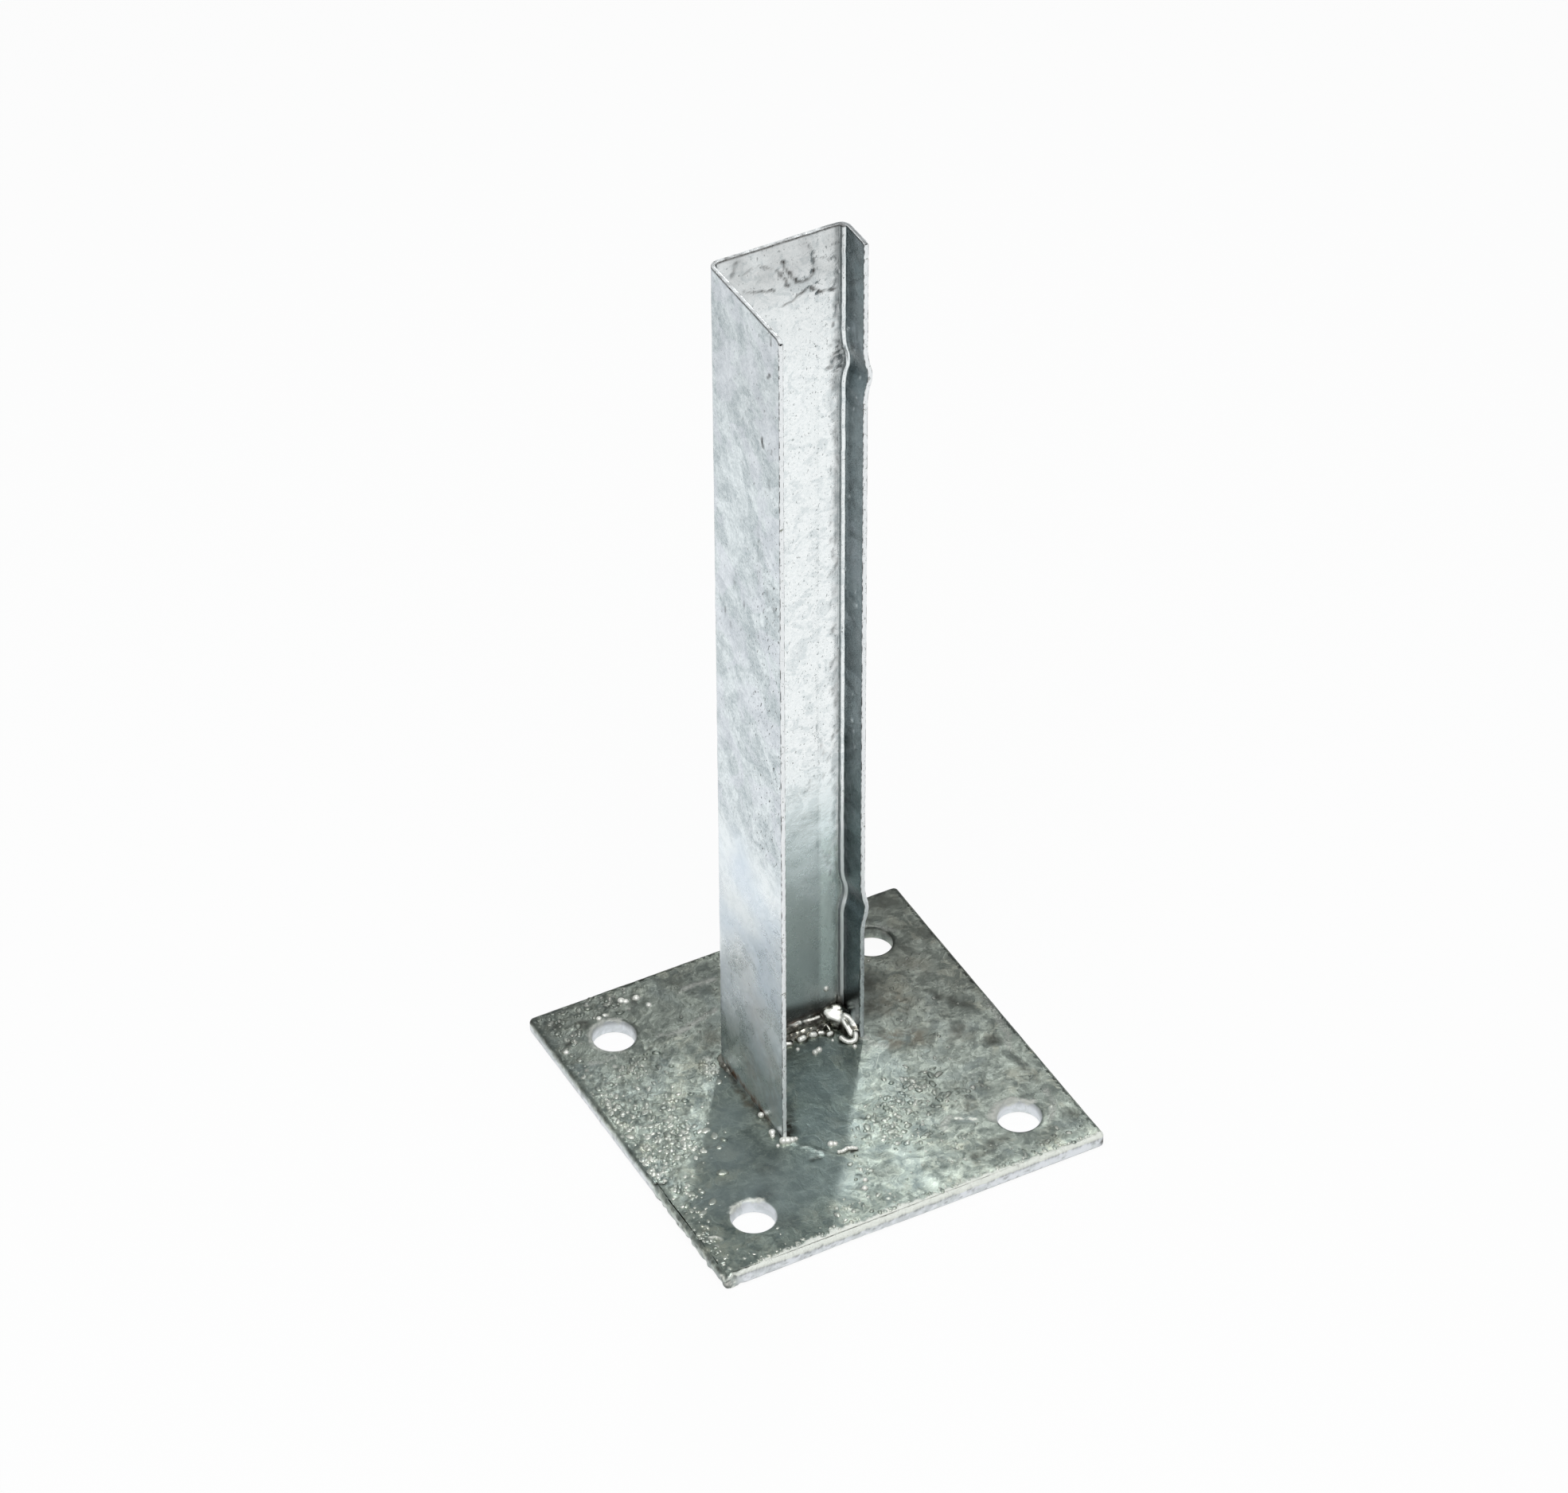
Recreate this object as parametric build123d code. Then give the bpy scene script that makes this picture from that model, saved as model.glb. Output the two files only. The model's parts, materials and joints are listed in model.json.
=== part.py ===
from build123d import *
from math import hypot
import os

# Base plate for a square tube post, welded and then hot-dip galvanised.
# A square plate with four bolt holes carries a folded channel that the post slides over.
# Units are millimetres. X runs across the web, +Y is towards the web, Z is up,
# and the origin is the centre of the plate's underside.

# Plate
plate_side = 150.0
plate_thickness = 6.0
plate_corner_radius = 1.8
plate_edge_radius = 1.2
hole_diameter = 16.0
hole_spacing = 105.0
hole_rim_radius = 1.2

# Folded channel, sizes over the outer faces
sheet_thickness = 1.75
bend_inner_radius = 2.0
web_width = 51.0
long_flange_depth = 49.0
short_flange_depth = 15.4
upright_height = 344.0
long_flange_corner_radius = 2.5
short_flange_corner_radius = 1.2

# Grip ribs, pressed outwards through the short flange and its bend
rib_depth = 2.2
rib_flank_below = 6.8
rib_flank_above = 8.2
rib_blend_radius = 5.0
lower_rib_height = 59.5
upper_rib_height = 290.0

# Weld beads, laid as a row of overlapping pools of metal
bead_sink = 1.5
pool_pitch = 3.2
inside_leg_at_start = 4.6
inside_leg_at_end = 6.0
inside_bead_stop = 6.2
behind_leg = 3.4
behind_leg_at_ends = 1.0
behind_wrap = 8.0
behind_taper = 16.0

# Places that follow from the sizes above
plate_top = plate_thickness
bend_outer_radius = bend_inner_radius + sheet_thickness
outer_half_width = web_width / 2
inner_half_width = outer_half_width - sheet_thickness
web_back = long_flange_depth / 2
web_front = web_back - sheet_thickness
long_flange_edge = web_back - long_flange_depth
short_flange_edge = web_back - short_flange_depth
bend_start = outer_half_width - bend_outer_radius
bead_room = 2 * max(inside_leg_at_start, inside_leg_at_end)


def make_plate():
    """Square plate with rounded edges and four holes with rounded rims."""
    with BuildPart() as plate:
        with BuildSketch():
            RectangleRounded(plate_side, plate_side, plate_corner_radius)
        extrude(amount=plate_thickness)
        fillet(plate.faces().filter_by(Axis.Z).edges(), plate_edge_radius)
        with BuildSketch():
            with GridLocations(hole_spacing, hole_spacing, 2, 2):
                Circle(hole_diameter / 2)
        extrude(amount=plate_thickness, mode=Mode.SUBTRACT)
        fillet(plate.edges(Select.LAST).filter_by(GeomType.CIRCLE), hole_rim_radius)
    return plate.part


def filled_section(half_width, back, bend_radius, front):
    """Outline that the channel would have if it were solid, its two back corners rounded."""
    with BuildSketch() as filled:
        with Locations((0, (back + front) / 2)):
            Rectangle(2 * half_width, back - front)
        fillet(filled.vertices().group_by(Axis.Y)[-1], bend_radius)
    return filled.sketch


def channel_section():
    """Folded sheet seen from above: long flange at -X, web at the back, short flange at +X."""
    outside = filled_section(outer_half_width, web_back, bend_outer_radius, long_flange_edge)
    inside = filled_section(inner_half_width, web_front, bend_inner_radius, long_flange_edge - web_width)
    shortening = short_flange_depth + web_width
    cut_away = Pos(outer_half_width, short_flange_edge - shortening / 2) * Rectangle(web_width, shortening)
    return outside - inside - cut_away


def rib_path():
    """Line up the height of the channel that steps outwards at each rib."""
    path_points = [(0, plate_top)]
    for crest in (plate_top + lower_rib_height, plate_top + upper_rib_height):
        path_points.append((0, crest - rib_flank_below))
        path_points.append((rib_depth, crest))
        path_points.append((0, crest + rib_flank_above))
    path_points.append((0, plate_top + upright_height))
    return FilletPolyline(*[(x, 0, z) for x, z in path_points], radius=rib_blend_radius)


def flange_corners(channel):
    """Top free corners of the flanges, each an edge across the sheet, the long flange's first."""
    top_edges = channel.edges().filter_by(Axis.X).group_by(Axis.Z)[-1]
    return top_edges.filter_by(lambda edge: edge.length < bend_outer_radius).sort_by(Axis.Y)


def make_upright():
    """Channel folded from one sheet. The ribbed side of its section follows the rib path."""
    section = channel_section()
    reach = 2 * web_width
    lap = rib_depth + sheet_thickness
    plain_side = section & (Pos(bend_start - reach / 2, 0) * Rectangle(reach, reach))
    ribbed_side = section & (Pos(bend_start - lap + reach / 2, 0) * Rectangle(reach, reach))
    channel = extrude(Pos(0, 0, plate_top) * plain_side, upright_height)
    channel += sweep(Pos(0, 0, plate_top) * ribbed_side, path=rib_path(), normal=(0, 0, 1))
    channel = fillet(flange_corners(channel)[0], long_flange_corner_radius)
    return fillet(flange_corners(channel)[-1], short_flange_corner_radius)


def pools_along(seam, leg_at):
    """Overlapping balls of weld metal along a seam. leg_at gives the bead's leg at a length."""
    count = round(seam.length / pool_pitch)
    pools = Part()
    for index in range(count + 1):
        run = seam.length * index / count
        leg = leg_at(run)
        pools += Pos(seam.position_at(index / count)) * Sphere(hypot(leg + bead_sink, bead_sink))
    return pools


def make_inside_weld():
    """Bead along the web's inner foot and down the short flange's inner foot."""
    level = plate_top - bead_sink
    half_width = inner_half_width + bead_sink
    back = web_front + bead_sink
    corners = [(-half_width, back, level), (half_width, back, level)]
    corners.append((half_width, short_flange_edge + inside_bead_stop, level))
    seam = FilletPolyline(*corners, radius=bend_inner_radius + bead_sink)

    def leg_at(run):
        return inside_leg_at_start + (inside_leg_at_end - inside_leg_at_start) * run / seam.length

    room = filled_section(inner_half_width, web_front, bend_inner_radius, long_flange_edge)
    return pools_along(seam, leg_at) & extrude(Pos(0, 0, plate_top) * room, bead_room)


def make_behind_weld():
    """Bead behind the web's foot. It runs round both bends and dies out on the flanges."""
    level = plate_top - bead_sink
    half_width = outer_half_width - bead_sink
    back = web_back - bead_sink
    ends = web_back - bend_outer_radius - behind_wrap
    corners = [(-half_width, ends, level), (-half_width, back, level)]
    corners += [(half_width, back, level), (half_width, ends, level)]
    seam = FilletPolyline(*corners, radius=bend_outer_radius - bead_sink)

    def leg_at(run):
        nearest_end = min(run, seam.length - run)
        return behind_leg_at_ends + (behind_leg - behind_leg_at_ends) * min(1, nearest_end / behind_taper)

    taken = filled_section(outer_half_width, web_back, bend_outer_radius, long_flange_edge)
    above_plate = Pos(0, 0, plate_top + bead_room / 2) * Box(plate_side, plate_side, bead_room)
    above_plate -= extrude(Pos(0, 0, plate_top) * taken, bead_room)
    return pools_along(seam, leg_at) & above_plate


nodes = {
    "base_plate": make_plate(),
    "upright": make_upright(),
    "weld_inside": make_inside_weld(),
    "weld_behind": make_behind_weld(),
}
os.makedirs("parts", exist_ok=True)
for name, solid in nodes.items():
    solid.label = name
    export_step(solid, f"parts/{name}.step")
    print(name, round(solid.volume), "mm3", solid.bounding_box().size)
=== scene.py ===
import json
import math
import random
import bmesh
import bpy
from mathutils import Matrix, Vector, kdtree, noise
from mathutils.geometry import delaunay_2d_cdt


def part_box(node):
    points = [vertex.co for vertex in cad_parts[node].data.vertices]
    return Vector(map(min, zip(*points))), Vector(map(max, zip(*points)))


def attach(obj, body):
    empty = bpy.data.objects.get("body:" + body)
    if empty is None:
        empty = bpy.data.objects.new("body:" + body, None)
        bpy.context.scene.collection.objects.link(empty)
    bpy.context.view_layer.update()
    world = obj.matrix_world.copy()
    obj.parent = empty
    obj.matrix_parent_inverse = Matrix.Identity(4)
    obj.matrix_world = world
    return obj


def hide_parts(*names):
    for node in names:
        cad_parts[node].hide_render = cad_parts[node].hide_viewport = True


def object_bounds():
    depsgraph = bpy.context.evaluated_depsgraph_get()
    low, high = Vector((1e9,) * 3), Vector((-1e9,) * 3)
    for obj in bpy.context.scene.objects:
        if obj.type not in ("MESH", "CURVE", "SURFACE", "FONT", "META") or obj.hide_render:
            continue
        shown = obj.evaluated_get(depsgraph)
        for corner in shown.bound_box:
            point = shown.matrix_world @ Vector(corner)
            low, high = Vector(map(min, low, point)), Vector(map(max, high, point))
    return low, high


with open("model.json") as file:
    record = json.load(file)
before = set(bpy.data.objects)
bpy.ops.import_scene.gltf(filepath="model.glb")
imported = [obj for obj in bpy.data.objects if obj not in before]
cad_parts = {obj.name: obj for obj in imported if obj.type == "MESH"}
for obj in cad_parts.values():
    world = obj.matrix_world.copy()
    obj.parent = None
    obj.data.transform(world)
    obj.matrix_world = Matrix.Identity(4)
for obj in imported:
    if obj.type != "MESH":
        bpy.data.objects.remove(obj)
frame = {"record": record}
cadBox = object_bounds()
mm = 0.001   # shapes are worked out in millimetres and turned to metres when a mesh is made
plateBox = [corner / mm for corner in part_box("base_plate")]
uprightBox = [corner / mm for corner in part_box("upright")]
plateTop = plateBox[1].z
print("frame loaded, plate top at", round(plateTop, 2), "mm")


def ease(value, low, high):
    # 0 up to low, 1 from high on, smooth in between; low may be the larger
    share = min(1.0, max(0.0, (value - low) / (high - low)))
    return share * share * (3 - 2 * share)


def between(low, high, share):
    return low + (high - low) * share


def along(table, place):
    # value at a place, eased between the table's entries
    for (start, low), (stop, high) in zip(table, table[1:]):
        if place <= stop:
            return between(low, high, ease(place, start, stop))
    return table[-1][1]


def lumps(x, y, z, size, shift=0.0):
    # smooth noise between about -1 and 1, whose lumps are that many millimetres across
    return noise.noise(Vector((x / size + shift, y / size - shift, z / size + 0.7 * shift)))


def direction(turn):
    return Vector((math.cos(turn), math.sin(turn)))


def pointsAlong(line, gap, fewest=1):
    # points about a gap apart, from the line's start up to just before its end
    points = []
    for start, stop in zip(line, line[1:]):
        start, stop = Vector(start), Vector(stop)
        count = max(fewest, round((stop - start).length / gap))
        points += [start.lerp(stop, step / count) for step in range(count)]
    return points


def placePiece(name, mesh, material, nodes=()):
    mesh.materials.clear()
    mesh.materials.append(material)
    mesh.polygons.foreach_set("use_smooth", [True] * len(mesh.polygons))
    mesh.update()
    piece = bpy.data.objects.new(name, mesh)
    bpy.context.scene.collection.objects.link(piece)
    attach(piece, "root")
    if nodes:
        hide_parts(*nodes)
    print("made", name, "with", len(mesh.polygons), "faces")


def meshFrom(name, points, faces):
    mesh = bpy.data.meshes.new(name)
    mesh.from_pydata([Vector(point) * mm for point in points], [], faces)
    return mesh


class Skin:
    # the points of a piece in millimetres, with layers of relief and paint over them
    def __init__(self, points, sides=None):
        self.points = points
        self.sides = sides or [0] * len(points)
        self.layers = {}
        self.tree = kdtree.KDTree(len(points))
        for index, point in enumerate(points):
            self.tree.insert(point, index)
        self.tree.balance()

    def layer(self, name):
        if name not in self.layers:
            self.layers[name] = [0.0] * len(self.points)
        return self.layers[name]

    def put(self, index, **values):
        for name, value in values.items():
            self.layer(name)[index] = value

    def raiseTo(self, name, index, value):
        values = self.layer(name)
        values[index] = max(values[index], value)

    def dab(self, name, place, radius, amount, side=0):
        # a soft round dab; where dabs overlap, the stronger one counts
        values = self.layer(name)
        for point, index, away in self.tree.find_range(place, radius):
            share = amount * (1 - (away / radius) ** 2) ** 2
            if self.sides[index] == side and abs(share) > abs(values[index]):
                values[index] = share

    def stroke(self, name, line, radius, amount, side=0):
        # a row of dabs that strays from its line and is wider and narrower by turns
        for place in pointsAlong(line, 0.4 * radius, 2):
            x, y, z = place
            uneven = lumps(x, y, z, 1.9, 3.1)
            astray = Vector((lumps(x, y, z, 1.6), lumps(y, z, x, 1.6, 5.0), lumps(z, x, y, 1.6, 9.0)))
            wide, strong = radius * (1 + 0.5 * uneven), amount * (1 + 0.7 * uneven)
            self.dab(name, place + astray * 0.9 * radius, wide, strong, side)

    def marks(self, table, placeOf, side=0):
        # a table has, for each layer, rows of strength, radius and the points of a stroke or of one dab
        for name, rows in table.items():
            for amount, radius, *spots in rows:
                line = [placeOf(*spot) for spot in spots]
                if len(line) == 1:
                    self.dab(name, line[0], radius, amount, side)
                else:
                    self.stroke(name, line, radius, amount, side)

    def paint(self, mesh, names):
        for name in names:
            mesh.attributes.new(name, "FLOAT", "POINT").data.foreach_set("value", self.layer(name))


# Shader maths: a Field is one output of a node, and an expression on it adds the nodes that work it out
class Field:
    def __init__(self, tree, socket=None):
        self.tree = tree
        self.socket = socket

    def node(self, kind, settings=None, inputs=None, output=0):
        made = self.tree.nodes.new(kind)
        for name, value in (settings or {}).items():
            setattr(made, name, value)
        for name, value in (inputs or {}).items():
            if isinstance(value, Field):
                self.tree.links.new(value.socket, made.inputs[name])
            else:
                made.inputs[name].default_value = value
        return Field(self.tree, made.outputs[output] if len(made.outputs) else None)

    def other(self, output):
        # another output of the same node
        return Field(self.tree, self.socket.node.outputs[output])

    def maths(self, operation, first, second=0.0):
        return self.node("ShaderNodeMath", {"operation": operation}, {0: first, 1: second})

    def __add__(self, value):
        return self.maths("ADD", self, value)

    __radd__ = __add__

    def __sub__(self, value):
        return self.maths("SUBTRACT", self, value)

    def __rsub__(self, value):
        return self.maths("SUBTRACT", value, self)

    def __mul__(self, value):
        return self.maths("MULTIPLY", self, value)

    __rmul__ = __mul__

    def size(self):
        return self.maths("ABSOLUTE", self)

    def least(self, value):
        return self.maths("MINIMUM", self, value)

    def most(self, value):
        return self.maths("MAXIMUM", self, value)

    def smooth(self, low, high):
        # 0 up to low, 1 from high on, smooth in between; low may be the larger
        settings = {"interpolation_type": "SMOOTHSTEP"}
        return self.node("ShaderNodeMapRange", settings, {"Value": self, "From Min": low, "From Max": high})

    def scaled(self, factor):
        return self.node("ShaderNodeVectorMath", {"operation": "SCALE"}, {0: self, "Scale": factor})

    def times(self, vector):
        return self.node("ShaderNodeVectorMath", {"operation": "MULTIPLY"}, {0: self, 1: vector})

    def turned(self, angles):
        return self.node("ShaderNodeMapping", {"vector_type": "POINT"}, {"Vector": self, "Rotation": angles})

    def cloud(self, size, detail=3.0, roughness=0.5, warp=0.0):
        # noise of about 0.5, in patches of that many millimetres
        shape = {"Scale": 1 / size, "Detail": detail, "Roughness": roughness, "Distortion": warp}
        return self.node("ShaderNodeTexNoise", {}, {"Vector": self, **shape})

    def patches(self, size, detail, roughness, warp, low, high):
        # a cloud with clear patches: 0 where it is under low, 1 where it is over high
        return self.cloud(size, detail, roughness, warp).smooth(low, high)

    def lines(self, size, detail, roughness, warp, width):
        # thin lines, where a cloud passes its middle value
        return (self.cloud(size, detail, roughness, warp) - 0.5).size().smooth(width, 0.0)

    def painted(self, names):
        # the layers that were painted on the points of the mesh
        return [self.node("ShaderNodeAttribute", {"attribute_name": name}, {}, "Fac") for name in names]

    def mixed(self, low, high):
        # value low where this field is 0, value high where it is 1
        return low + self * (high - low)

    def mix(self, under, over):
        # colour under where this field is 0, colour over where it is 1
        return self.node("ShaderNodeMix", {"data_type": "RGBA"}, {0: self, 6: under, 7: over}, 2)


def colour(red, green, blue):
    return (red, green, blue, 1.0)


def startMaterial(name):
    material = bpy.data.materials.new(name)
    material.use_nodes = True
    tree = material.node_tree
    tree.nodes.clear()
    return material, Field(tree).node("ShaderNodeTexCoord").other("Object").scaled(1 / mm)


def finishMetal(material, place, base, rough, height, metal):
    # height is the relief in millimetres
    bumped = place.node("ShaderNodeBump", {}, {"Height": height, "Distance": mm, "Strength": 1.0})
    values = {"Base Color": base, "Roughness": rough, "Normal": bumped, "Metallic": metal}
    shader = place.node("ShaderNodeBsdfPrincipled", {}, values)
    place.node("ShaderNodeOutputMaterial", {}, {"Surface": shader})
    return material


# Zinc on the plate: mottled grey-green, half matt, with crumbs, pits and brown stains
plateLayers = ["dirt", "glint", "stain", "pale", "tone", "gritty", "wall", "calm"]
plateZinc = {
    "light": colour(0.60, 0.675, 0.60),
    "deep": colour(0.205, 0.245, 0.228),
    "blue": colour(0.36, 0.44, 0.45),
    # painted shadow: the flat blue-grey where the upright's shadow falls on the plate
    "calm": colour(0.425, 0.495, 0.49),
    "beige": colour(0.62, 0.61, 0.48),
    "wisp": colour(0.74, 0.82, 0.74),
    # painted highlight on the glinting crumbs and marks
    "crumb": colour(0.96, 0.96, 0.88),
    # painted highlight along the rolled front edge
    "band": colour(0.98, 1.0, 0.93),
    # painted reflection of the pale floor on the plate's sides and the holes' walls
    "wall": colour(0.92, 0.945, 0.985),
    "brown": colour(0.26, 0.235, 0.18),
    "dirt": colour(0.07, 0.068, 0.058),
    # clouds: size in millimetres, detail, roughness, warp, and the values that become 0 and 1
    "blotch": (15.0, 5.0, 0.58, 0.9, 0.43, 0.58),
    "patch": (6.0, 4.0, 0.58, 0.9, 0.42, 0.59),
    "bits": (2.4, 4.0, 0.60, 0.6, 0.40, 0.62),
    "grain": (0.7, 2.0, 0.6, 0.0, 0.35, 0.65),
    "spots": (1.5, 3.0, 0.55, 0.5, 0.68, 0.77),
    "stains": (5.0, 4.0, 0.65, 0.0, 0.34, 0.60),
    "soils": (3.0, 3.0, 0.6, 0.0, 0.35, 0.6),
    "hue": (17.0, 3.0, 0.55, 0.5),
    "swell": (6.0, 2.0),
    # thin lines: size, detail, roughness, warp and width
    "wisps": (9.0, 3.0, 0.5, 1.8, 0.028),
    "curls": (24.0, 2.0, 0.45, 3.0, 0.018),
}


def makePlateZinc():
    look = plateZinc
    material, place = startMaterial("zincPlate")
    dirt, glint, stain, pale, tone, gritty, wall, calm = place.painted(plateLayers)
    calm = calm.least(1.0)
    names = ("blotch", "patch", "bits", "grain", "spots", "stains", "soils")
    blotch, patch, bits, grain, spots, stains, soils = [place.patches(*look[name]) for name in names]
    wisps, curls = place.lines(*look["wisps"]) * patch, place.lines(*look["curls"]) * blotch
    hue = place.cloud(*look["hue"])
    shade = 0.34 * blotch + 0.32 * patch + (0.18 + 0.12 * gritty) * bits + 0.10 * grain + 0.03 * gritty
    base = shade.mix(look["deep"], look["light"])
    base = (hue.smooth(0.54, 0.66) * 0.35).mix(base, look["blue"])
    base = (hue.smooth(0.47, 0.38) * 0.35 * patch + 0.25 * gritty * bits).mix(base, look["beige"])
    base = (wisps.most(curls) * 0.55).mix(base, look["wisp"])
    base = (calm * 0.55).mix(base, look["calm"])
    base = (stain * stains).mix(base, look["brown"])
    base = (wall * (0.7 + 0.3 * patch)).mix(base, look["wall"])
    base = (pale * (0.95 + 0.30 * bits)).mix(base, look["band"])
    # dirt and painted shade: pits and soot, and the painted contact shadow at the plate's foot, under the
    # sliver and in one hole
    darkened = dirt * (0.6 + 0.5 * soils)
    base = darkened.most(spots * 0.5 * (1 - calm)).mix(base, look["dirt"])
    base = glint.mix(base, look["crumb"])
    # painted shade: the tone layer darkens the zinc where its sheen falls off
    base = tone.mix(look["dirt"], base)
    rough = 0.43 - 0.02 * blotch - 0.04 * patch - 0.02 * bits
    rough = rough - 0.16 * glint + 0.15 * dirt - 0.02 * calm - 0.08 * pale
    metal = 1 - (1.2 * pale).least(1.0).most(0.65 * glint).most(0.8 * wall)
    relief = 0.12 * place.cloud(*look["swell"]) + 0.03 * patch + (0.02 + 0.05 * gritty + 0.14 * pale) * bits
    relief = relief + (0.012 + 0.06 * pale) * grain - 0.08 * spots
    return finishMetal(material, place, base, rough, relief, metal)


# Zinc on the folded sheet: bright and bluish, mottled, with slanting streaks and dark specks
sheetLayers = [
    "dirt", "glint", "stain", "inside", "shaded", "tone", "specky", "edge", "lower", "matt", "slope",
]
sheetZinc = {
    "pale": colour(0.91, 0.98, 1.0),
    "grey": colour(0.325, 0.395, 0.42),
    "lilac": colour(0.82, 0.84, 0.92),
    # painted reflection of the pale floor on the sheet's foot
    "foot": colour(0.93, 0.985, 1.0),
    "blue": colour(0.56, 0.68, 0.81),
    "teal": colour(0.86, 0.98, 1.0),
    "inside": colour(0.97, 1.0, 1.0),
    "insideDull": colour(0.56, 0.63, 0.65),
    "shaded": colour(0.078, 0.102, 0.108),
    "edge": colour(0.96, 0.985, 1.0),
    "edgeDark": colour(0.30, 0.32, 0.28),
    # soot, and the colour that painted shade darkens towards
    "soot": colour(0.045, 0.04, 0.034),
    "rust": colour(0.34, 0.20, 0.13),
    "speck": colour(0.10, 0.11, 0.11),
    "streakTilt": math.radians(-24),
    "streakStretch": 0.35,
    # clouds, as in plateZinc; the slants and the dashes lie along the streaks
    "patches": (13.0, 4.0, 0.56, 0.9, 0.44, 0.57),
    "mottle": (4.8, 4.0, 0.60, 0.9, 0.40, 0.60),
    "grain": (1.0, 3.0, 0.66, 0.5, 0.36, 0.66),
    "fine": (0.34, 2.0, 0.6, 0.0, 0.3, 0.7),
    "dull": (6.0, 5.0, 0.64, 1.2, 0.48, 0.62),
    "lilacs": (16.0, 3.0, 0.5, 0.8, 0.50, 0.60),
    "blues": (24.0, 2.0, 0.4, 0.0, 0.34, 0.68),
    "edgeTone": (1.5, 3.0, 0.65, 0.5, 0.30, 0.39),
    "rusts": (4.0, 3.0, 0.6, 0.0, 0.25, 0.6),
    "specks": (0.85, 3.0, 0.6, 0.4, 0.635, 0.71),
    "slants": (2.4, 4.0, 0.62, 0.5, 0.50, 0.70),
    "dashes": (0.75, 2.0, 0.5, 0.0, 0.65, 0.72),
    "swell": (8.0, 2.0),
    "insideSwell": (4.0, 4.0, 0.6, 1.0),
}


def makeSheetZinc():
    look = sheetZinc
    material, place = startMaterial("zincSheet")
    dirt, glint, rust, inside, shaded, tone, specky, edge, lower, matt, slope = place.painted(sheetLayers)
    names = ("patches", "mottle", "grain", "fine", "dull", "lilacs", "blues", "edgeTone", "rusts", "specks")
    clouds = [place.patches(*look[name]) for name in names]
    patches, mottle, grain, fine, dull, lilacs, blues, edgeTone, rusts, specks = clouds
    streaks = place.turned((look["streakTilt"], 0.0, 0.0)).times((1.0, 1.0, look["streakStretch"]))
    slants, dashes = [streaks.patches(*look[name]) for name in ("slants", "dashes")]
    shade = 0.34 * patches + 0.22 * mottle + 0.34 * grain + 0.10 * lower + 0.11
    base = shade.mix(look["grey"], look["pale"])
    base = (lilacs * 0.35).mix(base, look["lilac"])
    base = (slants * 0.12 * (1 - lower)).mix(base, look["grey"])
    base = (lower * (0.60 + 0.35 * mottle)).mix(base, look["foot"])
    base = (lower * blues * 0.50).mix(base, look["blue"])
    bright = (0.34 * dull + 0.26 * (1 - grain) + 0.12 * fine).mix(look["inside"], look["insideDull"])
    base = inside.mix(base, lower.mix(bright, look["teal"]))
    base = (shaded * (0.80 + 0.20 * patches)).mix(base, look["shaded"])
    base = edge.mix(base, edgeTone.mix(look["edgeDark"], look["edge"]))
    specks = specks * specky.smooth(0.0, 0.75) * lower.smooth(0.55, 0.0)
    dashes = dashes * (0.35 + 0.6 * specky) * lower.smooth(0.5, 0.0)
    base = (specks * 0.75).most(dashes).mix(base, look["speck"])
    base = (rust * rusts).mix(base, look["rust"])
    base = (dirt * (0.72 + 0.38 * grain)).mix(base, look["soot"])
    base = glint.mix(base, look["edge"])
    # painted shade: where the tone layer is low the zinc darkens towards soot colour; it also darkens a band
    # over the inside bead
    base = tone.mix(look["soot"], base)
    outerRough = 0.24 + 0.08 * patches + 0.04 * slants + 0.06 * grain
    innerRough = 0.12 + 0.05 * dull + 0.05 * grain + 0.10 * lower
    rough = inside.most(shaded).mixed(outerRough, innerRough) + 0.15 * rust + 0.3 * dirt + 0.1 * edge
    metal = 1 - matt.most(0.5 * glint)
    texture = 0.03 * mottle + 0.015 * slants + 0.016 * grain + 0.006 * fine
    relief = 0.10 * place.cloud(*look["swell"]) + texture * (1 - 0.5 * inside)
    relief = relief + inside * 0.045 * place.cloud(*look["insideSwell"]) + slope
    return finishMetal(material, place, base, rough, relief - 0.08 * specks - 0.04 * dashes, metal)


# Zinc over the weld metal and the drops: glossy and smooth, sooty in the hollows, with painted highlights
weldLayers = ["dirt", "glint"]
weldZinc = {
    "bright": colour(0.52, 0.51, 0.45),
    "dull": colour(0.17, 0.16, 0.135),
    "glint": colour(0.97, 0.96, 0.90),
    # soot, and the painted shadow under the sliver
    "soot": colour(0.035, 0.03, 0.025),
    "patches": (2.2, 3.0, 0.6, 0.0, 0.38, 0.62),
    "soots": (1.6, 3.0, 0.6, 0.0, 0.35, 0.6),
    "swell": (1.8, 2.0),
    "fineSwell": (0.5, 2.0),
}


def makeWeldZinc():
    look = weldZinc
    material, place = startMaterial("zincWeld")
    dirt, glint = place.painted(weldLayers)
    patches, soots = [place.patches(*look[name]) for name in ("patches", "soots")]
    base = patches.mix(look["dull"], look["bright"])
    base = (dirt * (0.7 + 0.4 * soots)).mix(base, look["soot"])
    base = glint.smooth(0.05, 0.75).mix(base, look["glint"])
    rough = 0.22 + 0.10 * (1 - patches) + 0.12 * dirt
    relief = 0.04 * place.cloud(*look["swell"]) + 0.004 * place.cloud(*look["fineSwell"])
    return finishMetal(material, place, base, rough, relief, 1 - 0.75 * glint.least(1.0))


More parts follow.
